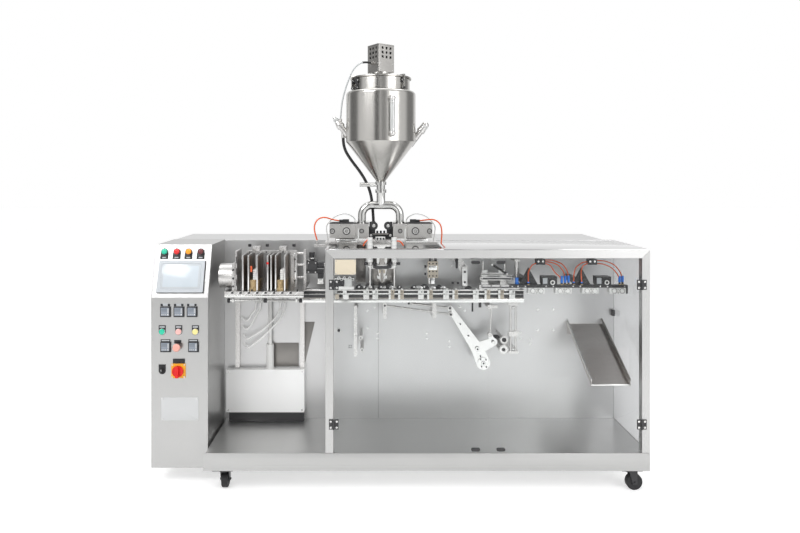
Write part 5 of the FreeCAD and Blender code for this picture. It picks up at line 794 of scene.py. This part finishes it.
lay("crank_marks", "black_metal", rods=[across(x, z, -115.2, -113, r)
    for x, z, r in ((360, 780, 4), (404, 716, 4), (470, 604, 4))]
    + [across(x, z, -120.4, -118.6, 5) for x, z in ((453, 644), (486, 566))], edge=0.4)
lay("clamp_bolts", "black_metal", bolts=[((x, -118, z), OUT, 3)
    for x, z in ((470, 588), (502, 546), (476, 548), (500, 586))])
lay("link_ends", "black_metal", rods=[across(x, z, -136, -130, 6)
    for x, z in ((-56, 886), (75, 898), (305, 837), (300, 872))], edge=1)

# Bag magazine
MAGAZINE_PLATES = (-811, -782, -736, -680, -662, -638, -590)
lay("magazine_edges", "bright_steel", boxes=[(x - 0.4, x + 6.4, -248.6, -246.4, 990, 1173)
    for x in MAGAZINE_PLATES], edge=0.6)
lay("magazine_liners", "bronze_plate", boxes=[(x + a, x + b, -244, -72, 989, 1166) for x in MAGAZINE_PLATES
    for a, b in ((-0.7, 0.3), (5.7, 6.7))], edge=0.2)
lay("magazine_holes", "black_plastic", rods=[across(-860, z, -243.6, -245.6, 5.5)
    for z in (1010, 1052, 1097)] + [across(x, 1181, -149, -152, 4) for x in (-790, -700, -610)], edge=0.4)
lay("magazine_slots", "black_plastic", boxes=[(-848.4, -844, -230.6, -226, z, z + 34)
    for z in (1010, 1070, 1130)], edge=0.4)
lay("brass_ribs", "brass", slot="brass", boxes=[(x - 1.4, x + 35.4, -241, -137, z, z + 3)
    for x in (-758, -614) for z in range(989, 1040, 8)], edge=0.8)
lay("pouch_stops", "white_plastic", boxes=[(x, x + 22, -236, -150, z, z + 8) for x in (-757, -613)
    for z in range(1044, 1096, 11)] + [(x + 4, x + 18, -232, -154, 1043, 1097) for x in (-757, -613)],
    edge=1.5)
lay("support_strip", "bright_steel", boxes=[(-553, -541, -131.5, -128, 990, 1172)], edge=1,
    bolts=[((-562, -129, z), OUT, 4) for z in (1038, 1106, 1160)])
lay("support_studs", "black_metal", rods=[across(-547, z, -134, -130, 5) for z in (1022, 1072, 1140)],
    edge=1)
lay("magazine_orange_stop", "orange_tube", slot="orange_hose", rods=[upright(-764, -244, 1086, 1118, 5)],
    edge=1.5)
lay("magazine_red_stud", "red", slot="red_plastic", domes=[((-677, -248.6, 1133), OUT, 6.5, 4)])
lay("magazine_top_knobs", "black_plastic", rods=[upright(x, -119, 1207, 1222, 9)
    for x in (-796, -700, -554)], edge=2)
lay("table_lip", "bright_steel", boxes=[(-903, -486, -262, -257, 956, 967)], edge=1)
lay("table_guides", "white_plastic", edge=0.8, plates=[([(x, 969), (x + 8, 969), (x + 26, 986),
    (x + 18, 986)], -261.5, -258) for x in range(-886, -520, 44)])
lay("table_guide_clips", "black_metal", edge=0.8, boxes=[(x, x + 12, -262, -258, 974, 984)
    for x in range(-868, -520, 44)], rods=[upright(x, -252, 984, 996, 4) for x in range(-880, -500, 60)])
lay("table_rod", "chrome", rods=[((-880, -236, 934), (-508, -236, 934), 6)],
    boxes=[(-866, -856, -246, -226, 926, 955), (-530, -520, -246, -226, 926, 955)], edge=1)
lay("table_rod_knobs", "black_plastic", rods=[((a, -236, 934), (b, -236, 934), 12)
    for a, b in ((-892, -878), (-512, -496), (-700, -682))], edge=2.5)

# Pick-up head
lay("pickup_cups", "white_plastic", rods=[upright(x, -125, 1010, 1038, 5) for x in (-418, -408, -398)]
    + [upright(x, -125, 1004, 1011, 7.5) for x in (-418, -408, -398)], edge=1)
lay("pickup_clamps", "bright_steel", rings=[upright(-470, -109, 1126, 1134, 12, 4),
    upright(-456, -109, 1140, 1146, 16, 12)], rods=[((-390, -109, 1106), (-384, -109, 1106), 10)], edge=1)
lay("pickup_screws", "screw_steel", bolts=[((x, -139, z), OUT, 3)
    for x, z in ((-472, 1070), (-434, 1070), (-472, 1120), (-434, 1120))])

# Hopper, lid, stirrer motor, pipe
LID_CLAMPS = (203, 218, 316)
lay("lid_rim", "worn_steel", rings=[upright(PIPE_X, TRACK_Y, 2118, 2122, 166.8, 164)])
for number, angle in enumerate(LID_CLAMPS, 1):
    around = Matrix.Translation((PIPE_X, TRACK_Y, 0)) @ Matrix.Rotation(math.radians(angle), 4, "Z")
    lay(f"lid_clamp_grip_{number}", "black_metal", at=around, edge=1.5,
        boxes=[(157, 171, -10, 10, 2092, 2115), (157, 168, -5, 5, 2068, 2093),
        (157, 173, -8, 8, 2058, 2069)])
    lay(f"lid_clamp_pin_{number}", "screw_steel", at=around, edge=1,
        rods=[across(165, 2103, -13, 13, 4), across(166, 2064, -10, 10, 3.5)])
MOTOR_TURN = Matrix.Translation((PIPE_X, TRACK_Y, 0)) @ Matrix.Rotation(math.radians(36), 4, "Z")
# Black squares in the motor's vent holes: the holes are real, their deep black is painted shade.
lay("motor_vent_painted_shade", "painted_hole_shade", at=MOTOR_TURN, boxes=[(-52.5, -51, u - 6, u + 6, z - 6, z + 6)
    for u in (-27, 0, 27) for z in (2238, 2262, 2286)]
    + [(u - 6, u + 6, -52.5, -51, z - 6, z + 6) for u in (-27, 0, 27) for z in (2238, 2262, 2286)], edge=0.3)
lay("motor_seams", "black_plastic", at=MOTOR_TURN, boxes=[(-52.3, 52.3, -52.3, 52.3, 2300, 2301)], edge=0.2)
lay("motor_screws", "screw_steel", at=MOTOR_TURN, bolts=[((-52, u, z), (-1, 0, 0), 3) for u in (-42, 42)
    for z in (2168, 2200)] + [((u, -52, z), OUT, 3) for u in (-42, 42) for z in (2168, 2200)])
lay("sight_tube", "clear_cap", rods=[upright(-19.6, -328, 1820, 1992, 13.6)], edge=5)
lay("sight_tube_ends", "screw_steel", rings=[upright(-19.6, -328, z, z + 5, 14.4, 11) for z in (1832, 1975)])
tube_run("lead_sleeve", [(-134.2, -170.1, 2206), (-146, -179, 2206), (-158.9, -187.6, 2206),
    (-176, -196, 2203)], 5.6, "rubber", "black_plastic")
STUBS = (("left", Vector((-237.6, -129, 1787)), Vector((-0.602, 0, 0.799)), 46, 15),
         ("right", Vector((82.4, -129, 1762)), Vector((0.602, 0, 0.799)), 30, 20.6))
for side, root, along, long, wide in STUBS:
    lay(f"{side}_stub_cap", "clear_cap", edge=3,
        rods=[(root + along * 103, root + along * (103 + long), wide)],
        domes=[(root + along * (101 + long), along, wide - 3, 9)])
lay("stub_bands", "screw_steel",
    rings=[(root + along * 96, root + along * 103, 24, 14) for side, root, along, long, wide in STUBS])
lay("pipe_clamp_bolts", "screw_steel", bolts=[((x, -160, z), OUT, 4) for x in (-98, -57)
    for z in (1517, 1560)])

# Base: cover box with a dark band under it, manifold fittings, chute lips, casters
lay("cover_box_front", "white_paint", slot="white_paint", boxes=[(-951, -509, -14, 36, 258.6, 500)], edge=3)
# A black band under the white box front, set back a little from it.
lay("cover_box_dark_band", "black_metal", slot="steel", boxes=[(-934, -509, -10, 34, 208, 259.4)], edge=1)
lay("cover_box_screws", "screw_steel", bolts=[((x, -14, z), OUT, 4) for x in (-938, -522)
    for z in (272, 486)])
lay("manifold_fittings", "black_metal", rings=[upright(x, 12, 919, 930, 9, 5.5)
    for x in (-785, -760, -645, -620)], rods=[across(x, 912, -4, -9, 4) for x in (-832, -705, -575)], edge=1)
CHUTE_LOW, CHUTE_HIGH = 556, 778
for side, x0, x1 in (("left", 989, 994), ("right", 1184, 1194)):
    lay(f"chute_{side}_lip", "worn_steel" if side == "right" else "bright_steel",
        plates=[([(-370, CHUTE_LOW - 6), (-370, CHUTE_LOW + 1.4),
            (36, CHUTE_HIGH + 1.4), (36, CHUTE_HIGH - 6)], x0, x1)], edge=0.6,
        at=Matrix(((0, 1, 0, 0), (1, 0, 0, 0), (0, 0, 1, 0), (0, 0, 0, 1))))
lay("chute_front_lip", "bright_steel", boxes=[(991, 1192, -371, -366, 526, 534)], edge=1)
for corner, x, y, turn in (("front_left", -876, -369, 90), ("front_right", 1180, -369, 0),
                           ("rear_left", -876, 370, 60), ("rear_right", 1143, 370, 120)):
    lay(f"caster_bolts_{corner}", "screw_steel", bolts=[((x + dx, y + dy, 112), DOWN, 4) for dx in (-24, 24)
        for dy in (-20, 20)])
    pivot = Matrix.Translation((x, y, 0)) @ Matrix.Rotation(math.radians(turn), 4, "Z")
    roll = pivot @ Matrix.Translation((26, 0, 41))
    lay(f"wheel_hub_{corner}", "grey_plastic", at=roll, body="wheel_" + corner,
        rings=[across(0, 0, -13, 13, 29, 8)])


# Studio
def background_rays(made):
    """1 for the rays that see the white background, 0 for those that light the object."""
    path = add(made, "LightPath").outputs
    either = calculate(made, "MAXIMUM", path["Is Camera Ray"], path["Is Glossy Ray"])
    return calculate(made, "MAXIMUM", either, path["Is Transmission Ray"])


def card(name, azimuth, width, level, distance=9.0):
    """A tall card about the object, white at its edges and grey in its middle, that only gloss shows."""
    turn = math.radians(azimuth)
    side = Vector((math.cos(turn), math.sin(turn), 0)) * (distance * math.tan(math.radians(width / 2)))
    middle = Vector((math.sin(turn), -math.cos(turn), 0)) * distance
    low, high = Vector((0, 0, -0.2)), Vector((0, 0, 9.0))
    corners = [middle - side + low, middle + side + low, middle + side + high, middle - side + high]
    mesh = bpy.data.meshes.new(name)
    mesh.from_pydata(corners, [], [(0, 1, 2, 3)])
    for loop, across_up in zip(mesh.uv_layers.new(name="across").data, ((0, 0), (1, 0), (1, 1), (0, 1))):
        loop.uv = across_up
    made = start_material(name, keep_shader=False)
    split = add(made, "SeparateXYZ", [("Vector", add(made, "TexCoord").outputs["UV"])])
    ramp = add(made, "ValToRGB", [("Fac", split.outputs["X"])])
    ramp.color_ramp.interpolation = "EASE"
    steps = ramp.color_ramp.elements
    while len(steps) < 4:
        steps.new(0.5)
    for step, (position, shade) in zip(steps, ((0.0, 1.0), (0.3, level), (0.7, level), (1.0, 1.0))):
        step.position = position
        step.color = (shade, shade, shade, 1)
    show_surface(made, add(made, "Emission", [("Color", ramp.outputs["Color"])]).outputs["Emission"])
    mesh.materials.append(made)
    board = add_object(name, mesh)
    board.visible_camera = False
    board.visible_diffuse = False
    board.visible_transmission = False
    board.visible_shadow = False
    board.visible_volume_scatter = False
    return board


def studio():
    world = bpy.data.worlds.new("studio")
    bpy.context.scene.world = world
    world.use_nodes = True
    plain = world.node_tree.nodes["Background"]
    plain.inputs["Color"].default_value = (1, 1, 1, 1)
    plain.inputs["Strength"].default_value = 0.6
    seen = add(world, "Background", Color=(1, 1, 1, 1), Strength=1.0)
    blend = add(world, "MixShader", [("Fac", background_rays(world)), (1, plain.outputs["Background"]),
                                     (2, seen.outputs["Background"])])
    show_surface(world, blend.outputs["Shader"], "World Output")

    bpy.ops.mesh.primitive_plane_add(size=60, location=(0, 0, 0))
    floor = bpy.context.object
    floor.name = "floor"
    pale = start_material("pale_floor")
    shader = pale.node_tree.nodes["Principled BSDF"]
    shader.inputs["Base Color"].default_value = (0.86, 0.86, 0.86, 1)
    shader.inputs["Roughness"].default_value = 0.9
    strength = calculate(pale, "MULTIPLY", background_rays(pale), 0.45)
    glow = add(pale, "Emission", [("Strength", strength)])
    both = add(pale, "AddShader", [(0, shader.outputs["BSDF"]), (1, glow.outputs["Emission"])])
    show_surface(pale, both.outputs["Shader"])
    floor.data.materials.append(pale)
    cards = [card(*row) for row in (
        ("left_card", -100, 56, 0.26), ("narrow_card", -14, 22, 0.12), ("front_card", 9, 26, 0.42),
        ("bright_card", 30, 15, 1.8), ("right_card", 112, 60, 0.34))]

    for name, place, aim, size, power in (
            ("key", (-2.6, -3.2, 3.6), (0, 0, 0.9), (2.4, 1.6), 90),
            ("fill", (3.0, -3.4, 2.6), (0.2, 0, 0.9), (2.0, 2.0), 55),
            ("top", (0.0, 0.3, 4.6), (0, 0, 1.0), (3.6, 1.6), 60)):
        lamp = bpy.data.lights.new(name, "AREA")
        lamp.shape = "RECTANGLE"
        lamp.size, lamp.size_y = size
        lamp.energy = power
        held = add_object(name, lamp)
        held.location = place
        held.rotation_euler = (Vector(aim) - Vector(place)).to_track_quat("-Z", "Y").to_euler()


def camera():
    lens = bpy.data.cameras.new("photo_view")
    lens.sensor_width = 36.0
    lens.lens = 28.8
    lens.shift_x = 0.034
    lens.shift_y = -0.111
    lens.clip_end = 200.0
    held = add_object("photo_view", lens)
    held.location = (-0.1215, -3.629, 1.585)
    held.rotation_euler = (math.radians(90), 0, 0)
    bpy.context.scene.camera = held


studio()
camera()
bpy.context.scene.view_settings.view_transform = "Standard"
